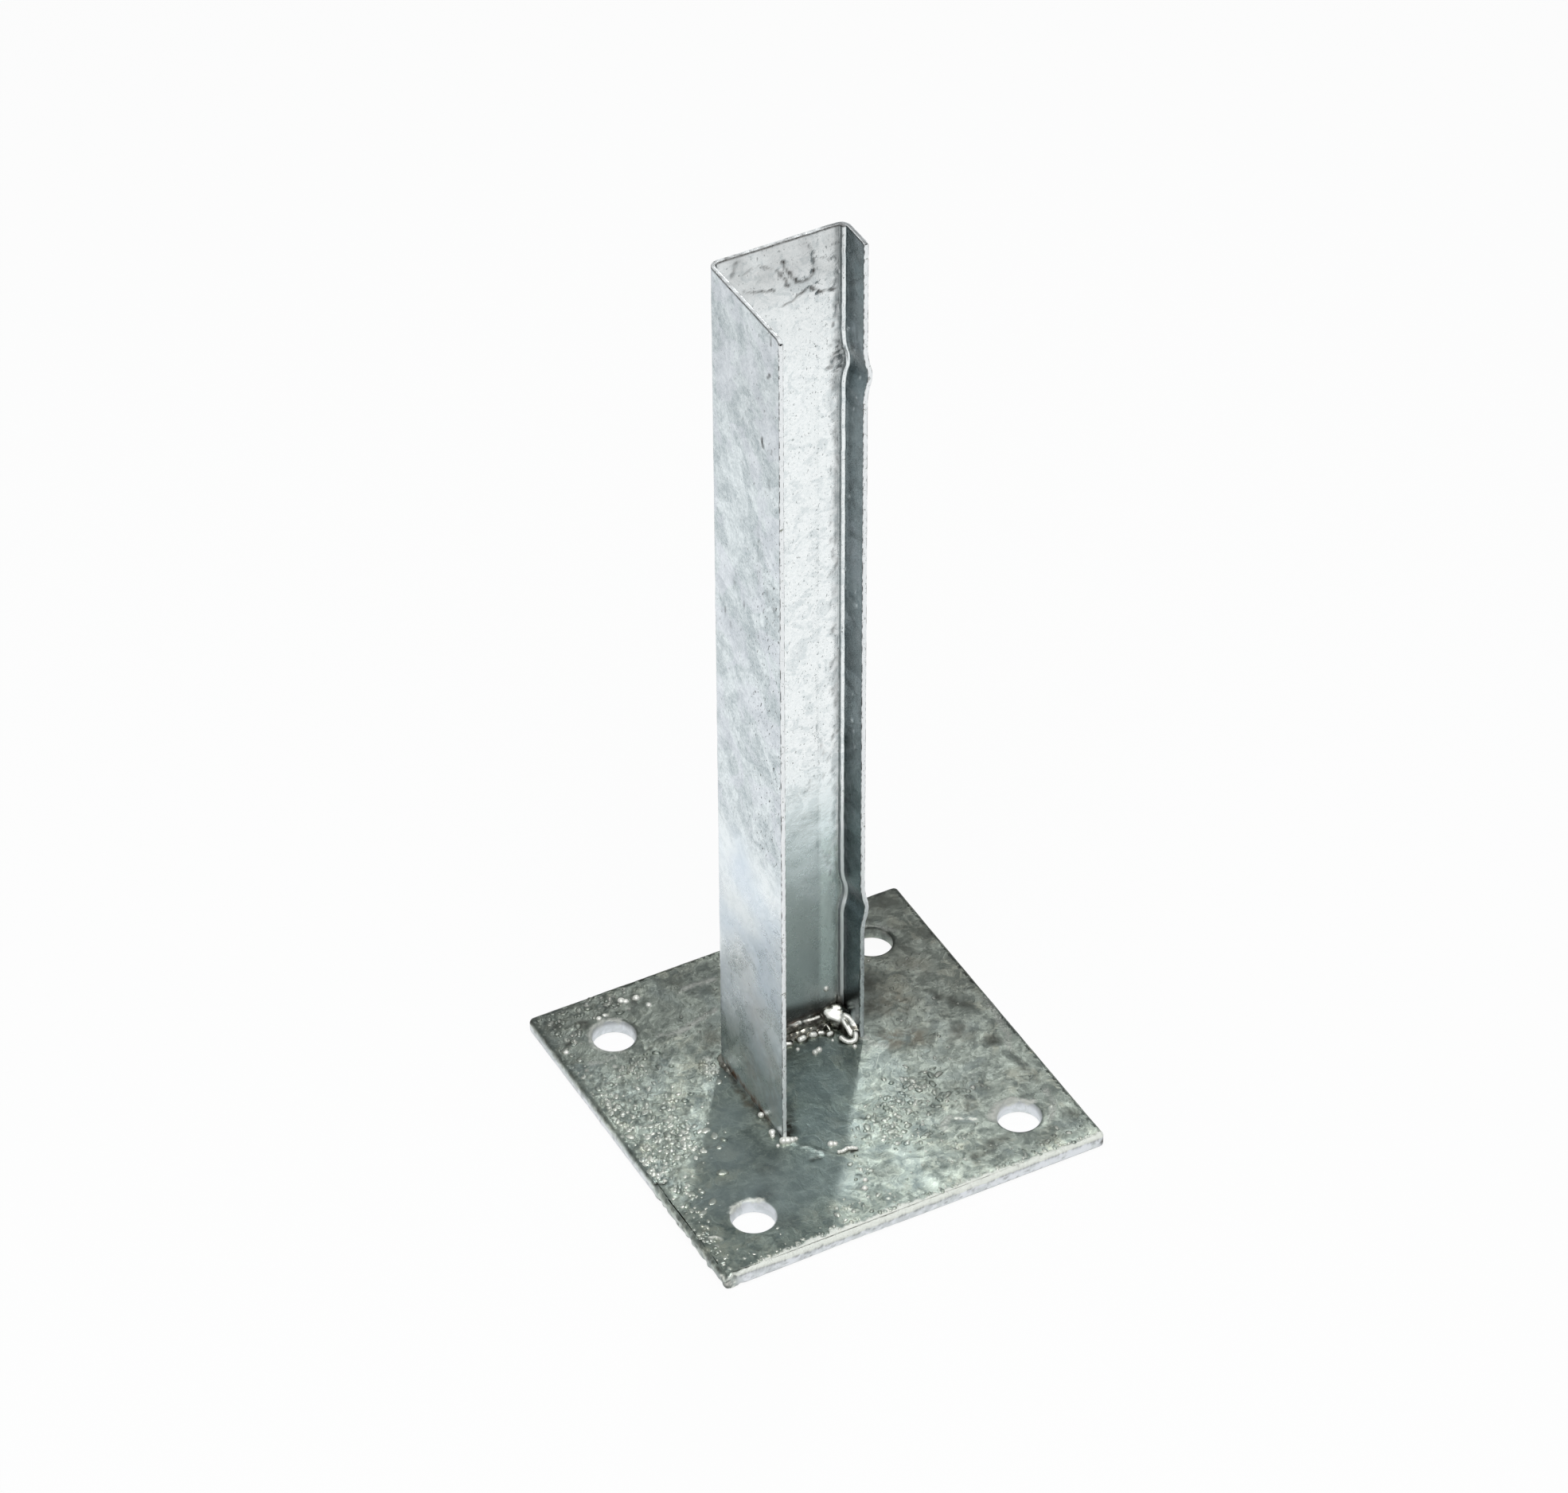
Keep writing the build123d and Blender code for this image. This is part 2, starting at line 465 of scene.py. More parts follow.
# Flat plate with uneven dipped edges and a crumbly top
holes = [mount for mount in frame["record"]["mounts"] if mount["name"] == "anchor_holes"][0]["dims"]
plate = {
    "cornerRadii": [1.8, 1.8, 1.4, 1.8],   # back right, back left, front left, front right
    "edgeRadius": 1.2,
    "rimRadius": 1.2,
    "coarseStep": 0.95,
    "fineStep": 0.55,
    "underStep": 4.0,
    "sideStep": 0.6,
    "cornerSteps": 4,
    "holePoints": 72,
    "roundingRows": 4,
    "sideRows": 5,
    "denseFields": 15,   # how many of crumbFields, from the first, have the finer mesh
    "denseReach": 1.9,   # how far the finer mesh reaches there, in spreads of the field
    "fineFront": 7.0,   # and how far in from the front and the left edges
    "fineLeft": 6.0,
    "shake": 0.12,   # how far a point of the mesh strays, in steps
    "seed": 7,
    "holeCoat": 0.4,   # the zinc makes the holes a little smaller, and they are a little out of place
    "holeShifts": {(-1, -1): (0.3, -0.3), (1, 1): (0.0, 0.0), (-1, 1): (0.2, -0.5), (1, -1): (0.5, -0.2)},
    # painted shade at the top of the back right hole's wall; the other walls get painted reflection
    "darkHole": 1,   # the one at the back right has a dark wall, and the others' are bright
    "edgeWidth": 4.0,   # how far in from a side its unevenness reaches
    "raggedSpan": (-18.0, -24.0),   # y at which the left side starts to be ragged, and is so in full
    # how far an edge lies in from the straight side, at places along it
    "leftEdge": [(-75, 0.0), (-24, 0.0), (-20, 0.12), (10, 0.12), (75, 0.05)],
    "rightEdge": [(-75, 0.0), (-60, 0.15), (40, 0.15), (75, 0.0)],
    "frontUndercut": [(-75, 0.0), (-50, 0.2), (-28, 0.5), (-10, 0.4), (5, 0.2), (75, 0.1)],
    "frontRounding": [
        (-75, 1.3), (-64, 1.5), (-50, 2.2), (-36, 2.7), (-26, 2.8),
        (-8, 2.5), (10, 2.2), (40, 1.9), (62, 1.8), (75, 1.7),
    ],
    # how far the painted highlight along the front reaches in
    "bandWidth": [
        (-75, 0.5), (-66, 1.6), (-50, 2.6), (-36, 3.4), (-28, 3.6),
        (-12, 3.0), (6, 2.6), (40, 2.3), (62, 1.6), (75, 2.0),
    ],
    "cornerLumps": 46,
    "cornerMiddle": (-73.4, -73.6),
    "cornerSpread": 1.4,
    "leftLumps": 60,
    "leftSpan": (-70, 70),
    "frontPits": 70,
    "frontSpan": (-68, 75),
    "lineHeights": (4.7, 5.4),   # of the dark lines near the top, on the front and on the left side
    # painted shade of the top: how much darker it is at the back, and on the right
    "backDullness": 0.53,
    "rightDullness": (0.45, 0.27),   # in front and at the back
}
plateHalf = plateBox[1].x
plateThickness = plateTop - plateBox[0].z
halfSpacing = holes["spacing_x_mm"] / 2
holeCentres = [Vector(corner) * halfSpacing + Vector(shift) for corner, shift in plate["holeShifts"].items()]

# crumbs of zinc on the top: middle, spread in x and y, how many, largest radius
crumbFields = [
    ((-56, 8), (8, 14), 150, 1.1), ((-60, -8), (6, 7), 100, 1.5), ((-69, -17), (2.5, 3.5), 30, 1.4),
    ((-31, 19), (1.6, 3.5), 24, 1.2), ((-53, 34), (6, 4), 34, 1.1), ((-70, 16), (2, 18), 60, 1.3),
    ((-68, -33), (3, 6), 40, 1.3), ((-71, -52), (1.6, 14), 50, 1.2), ((-60, -68), (8, 3), 14, 0.9),
    ((28, -21), (4, 3), 34, 1.2), ((37, -32), (7, 3), 30, 1), ((18, -27), (5, 4), 44, 1.1),
    ((8, -36), (5, 5), 60, 1.2), ((18, -44), (6, 4), 30, 1), ((-8, -51), (2, 2.5), 8, 1.2),
    ((-18, -66), (9, 2.5), 20, 1), ((-48, 68), (8, 3), 26, 1.5), ((-66, 62), (4, 5), 20, 1.3),
    ((44, -6), (6, 6), 14, 0.8), ((52, 22), (8, 12), 18, 0.8), ((10, -60), (20, 6), 26, 0.9),
    ((55, -68), (12, 4), 20, 0.9), ((5, 45), (30, 16), 40, 0.8), ((30, -60), (14, 8), 16, 0.8),
    ((-62, 71), (10, 1.6), 20, 1.2),
]

# marks on the top: for each layer, rows of strength, radius and the points of a stroke or of one dab
plateMarks = {
    "pale": [
        (0.75, 1.3, (-22, 60.9), (-17, 61.9), (-12, 62.2), (-6.5, 61.2)),
        (0.7, 1.3, (-38.6, 43.9), (-30.3, 43), (-22, 44.6), (-13.4, 47)),
        (0.45, 1.4, (52, 61), (57.5, 58.7), (63.2, 52.6)),
        (0.4, 1.5, (67.6, -46), (66.5, -54), (60.9, -60.4)),
        (0.45, 1.4, (31.4, -41.3), (27.5, -43.6), (26.6, -47.4)),
        (0.35, 1.8, (74, 5.2), (72, -5), (71.3, -12.5), (67.3, -22.2)),
        (0.3, 2, (22, 2), (26, 5.7), (30, 1)), (0.45, 1.4, (-66, 43), (-62, 41.5), (-57, 42)),
        (0.45, 2.4, (-28.9, 25.6), (-30.4, 21), (-31.6, 17.6)), (0.5, 1.6, (24.4, 8.8), (26, 7.6)),
    ],
    "glint": [
        (0.9, 0.6, (32.8, -43.1), (35.5, -44.9), (39.2, -47)),
        (1, 0.6, (-70.4, -54.6), (-68.5, -55.7), (-66.4, -57.2)),
        (0.45, 0.7, (-22.6, -27.4), (-21.6, -29.3), (-19, -31.4)),
        (0.4, 0.7, (-17.6, -34.3), (-15.4, -36.3)), (1, 1.2, (-67.9, 57.5)), (1, 1, (-69, 40.4)),
        (1, 0.9, (-69.4, 22.5)), (0.9, 0.8, (-72.2, 15.9)), (0.9, 0.9, (-73.6, 4.2)),
        (0.9, 1.2, (-59.3, 37.5)), (0.8, 1.2, (-51.3, 33.1)), (0.9, 1.3, (-38, 72.4)),
        (0.7, 1.2, (-43, 70.5)), (0.9, 1.5, (-41.6, 67)), (0.9, 1.3, (-33.9, 60.4)),
        (0.9, 1.2, (-52.8, 62.5)), (0.8, 1.4, (-49.6, 62.7)), (0.9, 1.5, (-35.9, 65.8)),
        (0.8, 1.2, (-41.1, 61.9)), (1, 1.2, (-9.9, -55.4)), (0.9, 0.9, (-7.2, -67.2)),
        (0.8, 0.9, (-21.7, -65.2)),
    ],
    "crease": [
        (0.3, 0.8, (-70.4, -54.6), (-68.5, -55.7), (-66.4, -57.2)),
        (-0.5, 0.9, (-75, -21.2), (-72.9, -22.3), (-70.4, -23.9)),
        (-0.35, 1.1, (-21.4, -37.9), (-19.2, -37.2), (-16.9, -37.4)),
    ],
    "dirt": [
        (0.9, 0.7, (-75, -21.2), (-72.9, -22.3), (-70.4, -23.9)),
        (0.45, 2.2, (66.5, -24), (67.4, -30.5), (68.5, -38), (67.5, -42)),
        (0.4, 2.4, (57.5, 19), (63.7, 8.4), (68.4, 2.3)), (0.35, 1.6, (56, 64), (62, 59), (67, 50)),
        (0.6, 1.2, (-27.3, 31.2), (-25.6, 27.6), (-27.8, 25.2)), (0.55, 0.8, (-20.6, 42.4), (-19.2, 39.5)),
        (0.5, 3, (45, -60), (36, -61.5), (27, -66)),
        (0.6, 0.8, (-25.9, 24), (-26.1, 10), (-26.3, -8), (-26, -22)),
        (1.5, 2.6, (-22.6, -23.4), (-21.6, -20.5), (-20.4, -17), (-19.2, -13.5)),
        # painted shadow under the sliver of zinc
        (1.2, 0.9, (-11.8, -39.7), (-9.4, -40.1), (-7.7, -39.9), (-6.2, -40.6), (-4.4, -41.3)),
        (0.75, 1, (-21.4, -37.9), (-19.2, -37.2), (-16.9, -37.4)), (0.9, 4, (-59.3, 62.3)),
        (0.8, 2, (-68.6, 55.6)), (0.8, 4.8, (64.3, -14.4)), (0.75, 9, (34, 22)), (0.75, 13, (38, 34)),
        (0.45, 14, (66, 70)), (0.4, 11, (72, 48)), (0.45, 12, (56, 45)), (0.3, 8, (-66, -20)),
        (0.8, 2.2, (-59, 50)), (0.6, 1.6, (-27.6, 38)), (0.5, 5, (-68, 66)), (0.9, 5, (-21, -21)),
        (0.8, 5, (-19, -16)), (0.6, 4.5, (-16, -11)), (0.5, 4, (57, -3)), (0.45, 5, (70, -60)),
        (0.4, 6, (14, 58)), (0.45, 6, (-44, -46)), (0.4, 5, (-38, -34)), (0.35, 7, (-2, -56)),
        (0.35, 6, (-55, -46)), (0.35, 7, (-44, -60)), (0.3, 7, (-20, 66)), (0.6, 2.2, (-38.2, 64)),
        (0.6, 2, (-47.4, 66.5)),
    ],
    "stain": [
        (0.8, 1.8, (-26.6, 6), (-27.2, 0), (-26.8, -6)), (0.9, 9, (34, 3.1)), (0.8, 9, (41.9, 0)),
        (0.7, 12, (43, 20)), (0.5, 10, (60, 34)), (0.5, 8, (56, -6)), (0.4, 7, (-22, 34)),
        (0.4, 6, (40, -40)), (0.4, 9, (-50, 52)),
    ],
    "crumb": [
        (0.4, 0.9, (-24.6, -25.6), (-22.6, -27.2), (-21.6, -29.1), (-19, -31.2), (-17.6, -34.1),
            (-15.2, -36.2)),
        (0.5, 2.4, (-41.6, 67)), (0.4, 2, (-34.5, 61.2)), (0.5, 2.2, (-51.4, 62.6)),
        (0.4, 2.2, (-35.9, 66.4)),
    ],
    # painted shadow: the patch where the upright's cast shadow lies
    "calm": [
        (1.2, 10, (-35, -4)), (1.3, 15, (-46, -22)), (1.2, 14, (-58, -40)), (1.4, 24, (-40, -46)),
        (1.4, 20, (-22, -46)), (1.3, 19, (-10, -25)), (1.2, 18, (0, -5)), (1, 12, (10, 9)),
        (1.2, 14, (-12, 8)),
    ],
}

# painted highlights on the rims: hole (as in holeShifts), start and stop in degrees, strength, radius
rimMarks = [
    (3, 25, 160, 1.3, 1.5), (0, 40, 140, 1.3, 1.2), (2, 50, 175, 0.9, 1), (1, 60, 130, 0.5, 0.8),
    (3, 100, 175, 0.7, 2.6), (2, 180, 260, 0.6, 1.6),
]


def roundedSquare(inset, sideCount):
    # points of the plate's outline with rounded corners, anticlockwise from the right side
    arcs = []
    for corner, wholeRadius in enumerate(plate["cornerRadii"]):
        radius = max(0.15, wholeRadius - inset)
        turn = corner * math.pi / 2
        diagonal = Vector((math.cos(turn) - math.sin(turn), math.sin(turn) + math.cos(turn)))
        middle = diagonal * (plateHalf - inset - radius)
        steps = plate["cornerSteps"]
        turns = [turn + math.pi / 2 * step / steps for step in range(steps + 1)]
        arcs.append([middle + radius * direction(angle) for angle in turns])
    outline = []
    for arc, after in zip(arcs, arcs[1:] + arcs[:1]):
        outline += arc
        outline += [arc[-1].lerp(after[0], step / sideCount) for step in range(1, sideCount)]
    return outline


def circle(centre, radius):
    count = plate["holePoints"]
    return [centre + radius * direction(2 * math.pi * step / count) for step in range(count)]


def wallRows(rounding):
    # inset and height of each row up a wall whose two edges are rounded
    rows = []
    for step in range(plate["roundingRows"] + 1):
        angle = math.pi / 2 * step / plate["roundingRows"]
        rows.append((rounding * (1 - math.sin(angle)), rounding * (1 - math.cos(angle))))
    for step in range(1, plate["sideRows"]):
        rows.append((0.0, between(rounding, plateThickness - rounding, step / plate["sideRows"])))
    upper = reversed(rows[:plate["roundingRows"] + 1])
    return rows + [(inset, plateThickness - height) for inset, height in upper]


def crumbly(x, y):
    # True near the front edge, the left edge or a dense field of crumbs, where the mesh is finer
    if y < -plateHalf + plate["fineFront"] or x < -plateHalf + plate["fineLeft"]:
        return True
    reach = plate["denseReach"]
    return any(abs(x - middleX) < reach * wide and abs(y - middleY) < reach * deep
               for (middleX, middleY), (wide, deep), _, _ in crumbFields[:plate["denseFields"]])


def gridInside(holeReach, step, shaker, wanted):
    # staggered points that keep clear of the outline and the holes
    half = plateHalf - plate["edgeRadius"]
    shake = plate["shake"]
    points = []
    rowGap = step * math.sqrt(3) / 2
    for row in range(int(2 * half / rowGap)):
        for column in range(int(2 * half / step)):
            x = -half + (column + 0.5 * (row % 2)) * step + shaker.uniform(-shake, shake) * step
            y = -half + row * rowGap + shaker.uniform(-shake, shake) * step
            place = Vector((x, y))
            clear = max(abs(x), abs(y)) < half - 0.6 * step and wanted(x, y)
            if clear and all((place - centre).length > holeReach + 0.6 * step for centre in holeCentres):
                points.append(place)
    return points


def fillBetween(rings, inner, holeReach):
    # triangles between closed rings, over the inner points; returned as indices into rings + inner
    flat = [point for ring in rings for point in ring] + inner
    edges = []
    start = 0
    for ring in rings:
        edges += [(start + step, start + (step + 1) % len(ring)) for step in range(len(ring))]
        start += len(ring)
    made = delaunay_2d_cdt(flat, edges, [], 0, 1e-5)
    own = [source[0] for source in made[3]]
    faces = []
    for face in made[2]:
        middle = sum((made[0][corner] for corner in face), Vector((0, 0))) / 3
        if all((middle - centre).length > holeReach for centre in holeCentres):
            faces.append([own[corner] for corner in face])
    return faces


def layoutPlate():
    # points and faces of the true flat plate, before the zinc makes it uneven
    shaker = random.Random(plate["seed"])
    sideCount = round(2 * plateHalf / plate["sideStep"])
    holeRadius = holes["hole_r_mm"] - plate["holeCoat"]
    holeReach = holeRadius + plate["rimRadius"]
    points, faces = [], []
    underRings, overRings = [], []

    def addWall(outlineAt, rounding, outwards):
        # a closed wall, ring by ring upwards
        starts = []
        for inset, height in wallRows(rounding):
            outline = outlineAt(inset)
            count = len(outline)
            starts.append(len(points))
            points.extend(Vector((point.x, point.y, height)) for point in outline)
            for step in range(count if len(starts) > 1 else 0):
                after = (step + 1) % count
                lower, upper = starts[-2], starts[-1]
                quad = [lower + step, lower + after, upper + after, upper + step]
                faces.append(quad if outwards else quad[::-1])
        underRings.append(range(starts[0], starts[0] + count))
        overRings.append(range(starts[-1], starts[-1] + count))

    def grid(step, wanted):
        return gridInside(holeReach, plate[step], shaker, wanted)

    addWall(lambda inset: roundedSquare(inset, sideCount), plate["edgeRadius"], True)
    for centre in holeCentres:
        addWall(lambda inset: circle(centre, holeRadius + inset), plate["rimRadius"], False)
    under = grid("underStep", lambda x, y: True)
    over = grid("coarseStep", lambda x, y: not crumbly(x, y)) + grid("fineStep", crumbly)
    for rings, inner, height in ((underRings, under, 0.0), (overRings, over, plateThickness)):
        outlines = [[points[index].xy for index in ring] for ring in rings]
        own = [index for ring in rings for index in ring]
        own += range(len(points), len(points) + len(inner))
        points.extend(Vector((point.x, point.y, height)) for point in inner)
        for face in fillBetween(outlines, inner, holeReach - 0.1):
            corners = [own[corner] for corner in face]
            faces.append(corners if height else corners[::-1])
    return points, faces


def comeDown(radius, gap):
    # how far a rounded edge has come down at a gap from its side
    return radius - math.sqrt(max(0.0, radius ** 2 - max(0.0, radius - gap) ** 2))


def dippedEdge(point):
    # moves a point near an edge of the true plate to where the uneven edge is
    x, y, z = point
    wide = plate["edgeWidth"]
    fromLeft, fromRight, fromFront, fromBack = plateHalf + x, plateHalf - x, plateHalf + y, plateHalf - y
    left, right = ease(fromLeft, wide, 0.0), ease(fromRight, wide, 0.0)
    front, back = ease(fromFront, wide, 0.0), ease(fromBack, wide, 0.0)
    low, high = ease(z, 3.0, 0.3), ease(z, 2.5, 6.0)
    ragged = ease(y, *plate["raggedSpan"])
    if left > 0:
        bite = 0.06 * (1 + lumps(x, y, z, 5.0))
        bite += between(0.05, 0.5, ragged) * max(0.0, 0.2 + lumps(y, z, 0, 2.6, 5.0))
        x += left * (along(plate["leftEdge"], y) + bite + 0.15 * low)
        slump = ragged * 0.8 * max(0.0, 1 - fromLeft / 3.4) ** 2 * high
        z -= slump * (1 + 0.6 * lumps(y, 0, 0, 2.2, 2.0))
    if right > 0:
        x -= right * (along(plate["rightEdge"], y) + 0.06 * (1 + lumps(y, z, 0, 6.0, 7.0)))
    if front > 0:
        y += front * (0.05 * (1 + lumps(x, z, 0, 4.0, 9.0)) + along(plate["frontUndercut"], x) * low)
    if back > 0:
        bite = 0.08 * (1 + lumps(x, z, 0, 4.0, 3.0))
        y -= back * bite
    rounding = 1 + 0.18 * lumps(x, 0, 0, 5.0, 1.0) + 0.12 * lumps(x, 0, 0, 1.9, 6.0)
    rounding *= along(plate["frontRounding"], x)
    trueTop = plateTop - comeDown(plate["edgeRadius"], fromFront)
    share = (plateTop - comeDown(rounding, fromFront)) / trueTop
    z *= between(1.0, share, ease(point.z, 0.8, 3.4))
    for gap in (fromRight, fromBack, fromLeft):
        z -= 0.3 * max(0.0, 1 - gap / 2.5) ** 2 * high
    return Vector((x, y, z))


def topRelief(x, y):
    # gentle unevenness of the top
    return 0.10 * lumps(x, y, 0, 12.0) + 0.06 * lumps(x, y, 0, 5.0, 2.0) + 0.035 * lumps(x, y, 0, 2.2, 4.0)


def topShade(x, y):
    # painted shade: the plate is darker towards the back and the right, where its sheen falls off
    tone = 1 - plate["backDullness"] * ease(y + 0.25 * x, -12.0, 48.0)
    rightShadeShare = between(*plate["rightDullness"], ease(y, 0.0, 40.0)) * (1 - 0.2 * ease(y, -40.0, -60.0))
    return tone * (1 - rightShadeShare * ease(x, 5.0, 50.0) * ease(plateHalf + y, 2.0, 6.0))


def markFields(skin, shaker):
    # grit, bumps and dirt where the crumbs are
    for (middleX, middleY), (wide, deep), count, biggest in crumbFields:
        for _ in range(count):
            place = Vector((shaker.gauss(middleX, wide), shaker.gauss(middleY, deep), plateThickness))
            skin.dab("gritty", place, 5.0, shaker.uniform(0.4, 0.9))
            if shaker.random() < 0.4:
                skin.dab("crumb", place, 1.3 * biggest, shaker.uniform(0.1, 0.3))
            if shaker.random() < 0.2:
                skin.dab("dirt", place, biggest, shaker.uniform(0.15, 0.4))


def markSides(skin, shaker):
    (middleX, middleY), spread = plate["cornerMiddle"], plate["cornerSpread"]
    onFront, onLeft = plate["lineHeights"]
    for _ in range(plate["cornerLumps"]):   # lumpy front left corner
        height = shaker.uniform(0.4, plateThickness)
        place = Vector((shaker.gauss(middleX, spread), shaker.gauss(middleY, spread), height))
        skin.dab("knob", place, 1.8, shaker.uniform(-0.8, 0.5))
        skin.dab("glint" if shaker.random() < 0.45 else "dirt", place, shaker.uniform(0.8, 1.3), 0.9)
    for _ in range(plate["leftLumps"]):   # lumps and dark gaps along the left side
        y = shaker.uniform(*plate["leftSpan"])
        place = Vector((-plateHalf, y, shaker.uniform(0.4, plateThickness)))
        strength = 1.0 if y < -20 else 0.4
        skin.dab("knob", place, shaker.uniform(1.2, 2.2), strength * shaker.uniform(-0.7, 0.5))
        skin.dab("dirt", place + Vector((0, 1.2, 0)), shaker.uniform(0.8, 1.5), strength * 0.8)
    # painted contact shadow: the dark lines at the foot of the front and left sides; the others are dark
    # lines near the top
    for run in range(-71, 76):   # dark lines along the front and left sides, at the foot and near the top
        foot = between(0.9, 0.35, ease(abs(run + 18), 45.0, 20.0)) * (1 + 0.3 * lumps(run, 0, 0, 4.0))
        skin.dab("dirt", Vector((run, -plateHalf, 0.0)), 1.2, foot)
        if lumps(run, 0, 0, 3.0, 2.0) > -0.1:
            skin.dab("dirt", Vector((run, -plateHalf, onFront)), 0.9, 0.55)
        skin.dab("dirt", Vector((-plateHalf, run, 0.0)), 1.2, 0.6 + 0.3 * lumps(run, 0, 0, 3.0))
        gap = 0.5 + 0.5 * lumps(run, 0, 0, 3.0, 5.0)
        skin.dab("dirt", Vector((-plateHalf + 0.3, run, onLeft)), 1.3, gap)
    skin.dab("dirt", Vector((74.4, -74.4, 2.4)), 2.6, 1.2)   # dark corners in front
    skin.dab("dirt", Vector((-74.4, -74.4, 1.6)), 3.2, 0.7)
    for _ in range(plate["frontPits"]):   # small pits along the front side
        x = shaker.uniform(*plate["frontSpan"])
        place = Vector((x, -plateHalf, shaker.uniform(0.3, plateThickness - 0.6)))
        skin.dab("dirt", place, shaker.uniform(0.5, 1.1), shaker.uniform(0.2, 0.6))
        skin.dab("knob", place, 1.0, -0.2)


def markRims(skin):
    for hole, first, last, amount, radius in rimMarks:
        turns = [math.radians(between(first, last, step / 12)) for step in range(13)]
        rim = [holeCentres[hole] + (holes["hole_r_mm"] + 0.3) * direction(turn) for turn in turns]
        for height in (plateThickness, plateThickness - 0.5):
            skin.stroke("pale", [(x, y, height) for x, y in rim], radius, amount)


def markWall(skin, index, point):
    # painted reflection: the plate's sides and the holes' walls are painted bright where they mirror the
    # pale floor, apart from the ragged stretches and one hole, whose wall gets painted shade near its top
    x, y, z = point
    reach = holes["hole_r_mm"] + 0.4
    inHole = [hole for hole, centre in enumerate(holeCentres) if (point.xy - centre).length < reach]
    wall = skin.layer("wall")
    if plate["darkHole"] in inHole:
        skin.raiseTo("dirt", index, 0.5 * ease(z, plateThickness, plateThickness - 0.8))
    elif inHole:
        wall[index] = 1.1 * ease(z, 0.25, 0.9) * ease(z, plateThickness - 0.02, plateThickness - 0.45)
    else:
        fromLeft, fromFront = plateHalf + x, plateHalf + y
        raggedSide = ease(y, *plate["raggedSpan"]) * ease(fromLeft, 1.5, 0.0)
        ragged = max(raggedSide, ease(math.hypot(fromLeft, fromFront), 6.0, 3.5))
        belowTop = ease(z, plateThickness - 0.35, plateThickness - 1.3)
        wall[index] = ease(z, 0.25, 0.9) * belowTop * (1 - 0.75 * ragged)
        wall[index] *= 1 - 0.8 * ease(fromLeft, 1.0, 0.3) * ease(z, 2.6, 3.8)


def makePlate(material):
    points, faces = layoutPlate()
    skin = Skin(points)
    shaker = random.Random(plate["seed"] + 1)
    markFields(skin, shaker)
    markSides(skin, shaker)
    markRims(skin)
    skin.marks(plateMarks, lambda x, y: Vector((x, y, plateThickness)))
    crumb, crease, knob, tone = [skin.layer(name) for name in ("crumb", "crease", "knob", "tone")]
    placed = []
    for index, point in enumerate(points):
        x, y, z = point
        onTop = ease(z, 3.5, 5.9)
        place = dippedEdge(point)
        if knob[index]:   # lumps push outwards on the left and front sides, and down at the foot
            place -= Vector((ease(-x, 69, 74), ease(-y, 69, 74), 0.7 * ease(-z, -3, -5.5))) * knob[index]
        place.z += onTop * (topRelief(x, y) + crumb[index] + crease[index])
        place.x, place.y = max(-plateHalf, place.x), max(-plateHalf, place.y)
        placed.append(place)
        # painted highlight: the pale band along the front, where the rolled edge catches the lamp
        uneven = 1 + 0.45 * lumps(x, 0, 0, 6.0, 6.0) + 0.35 * lumps(x, y, 0, 1.8, 3.0)
        width = along(plate["bandWidth"], x) * uneven
        skin.raiseTo("pale", index, ease(z, 4.75, 5.2) * ease(plateHalf + y, width + 0.6, width - 1.0))
        tone[index] = between(1.0, topShade(x, y), onTop)
        markWall(skin, index, point)
    mesh = meshFrom("zincPlate", placed, faces)
    skin.paint(mesh, plateLayers)
    placePiece("zincPlate", mesh, material, ["base_plate"])


crumbs = {
    "roundness": 2,   # how many times the ball's faces are split
    "edgeCount": 150,   # on the ragged upper side of the bright front edge
    "edgeSpan": (-66, 73),
    "edgeLargest": 0.8,
    "stretch": (0.8, 1.7),
    "flatness": (0.35, 0.7),
    "unevenness": 0.32,
}


def bareSpot(x, y):
    # True where no crumb lies: on the patch under the upright's painted shadow, over the edges and round the
    # holes
    if -58 < y < 4 and 0.62 * y - 33 < x < -14:
        return True
    if abs(x) > plateHalf - 1.8 or abs(y) > plateHalf - 1.6:
        return True
    return math.hypot(abs(x) - halfSpacing, abs(y) - halfSpacing) < holes["hole_r_mm"] + 1.6


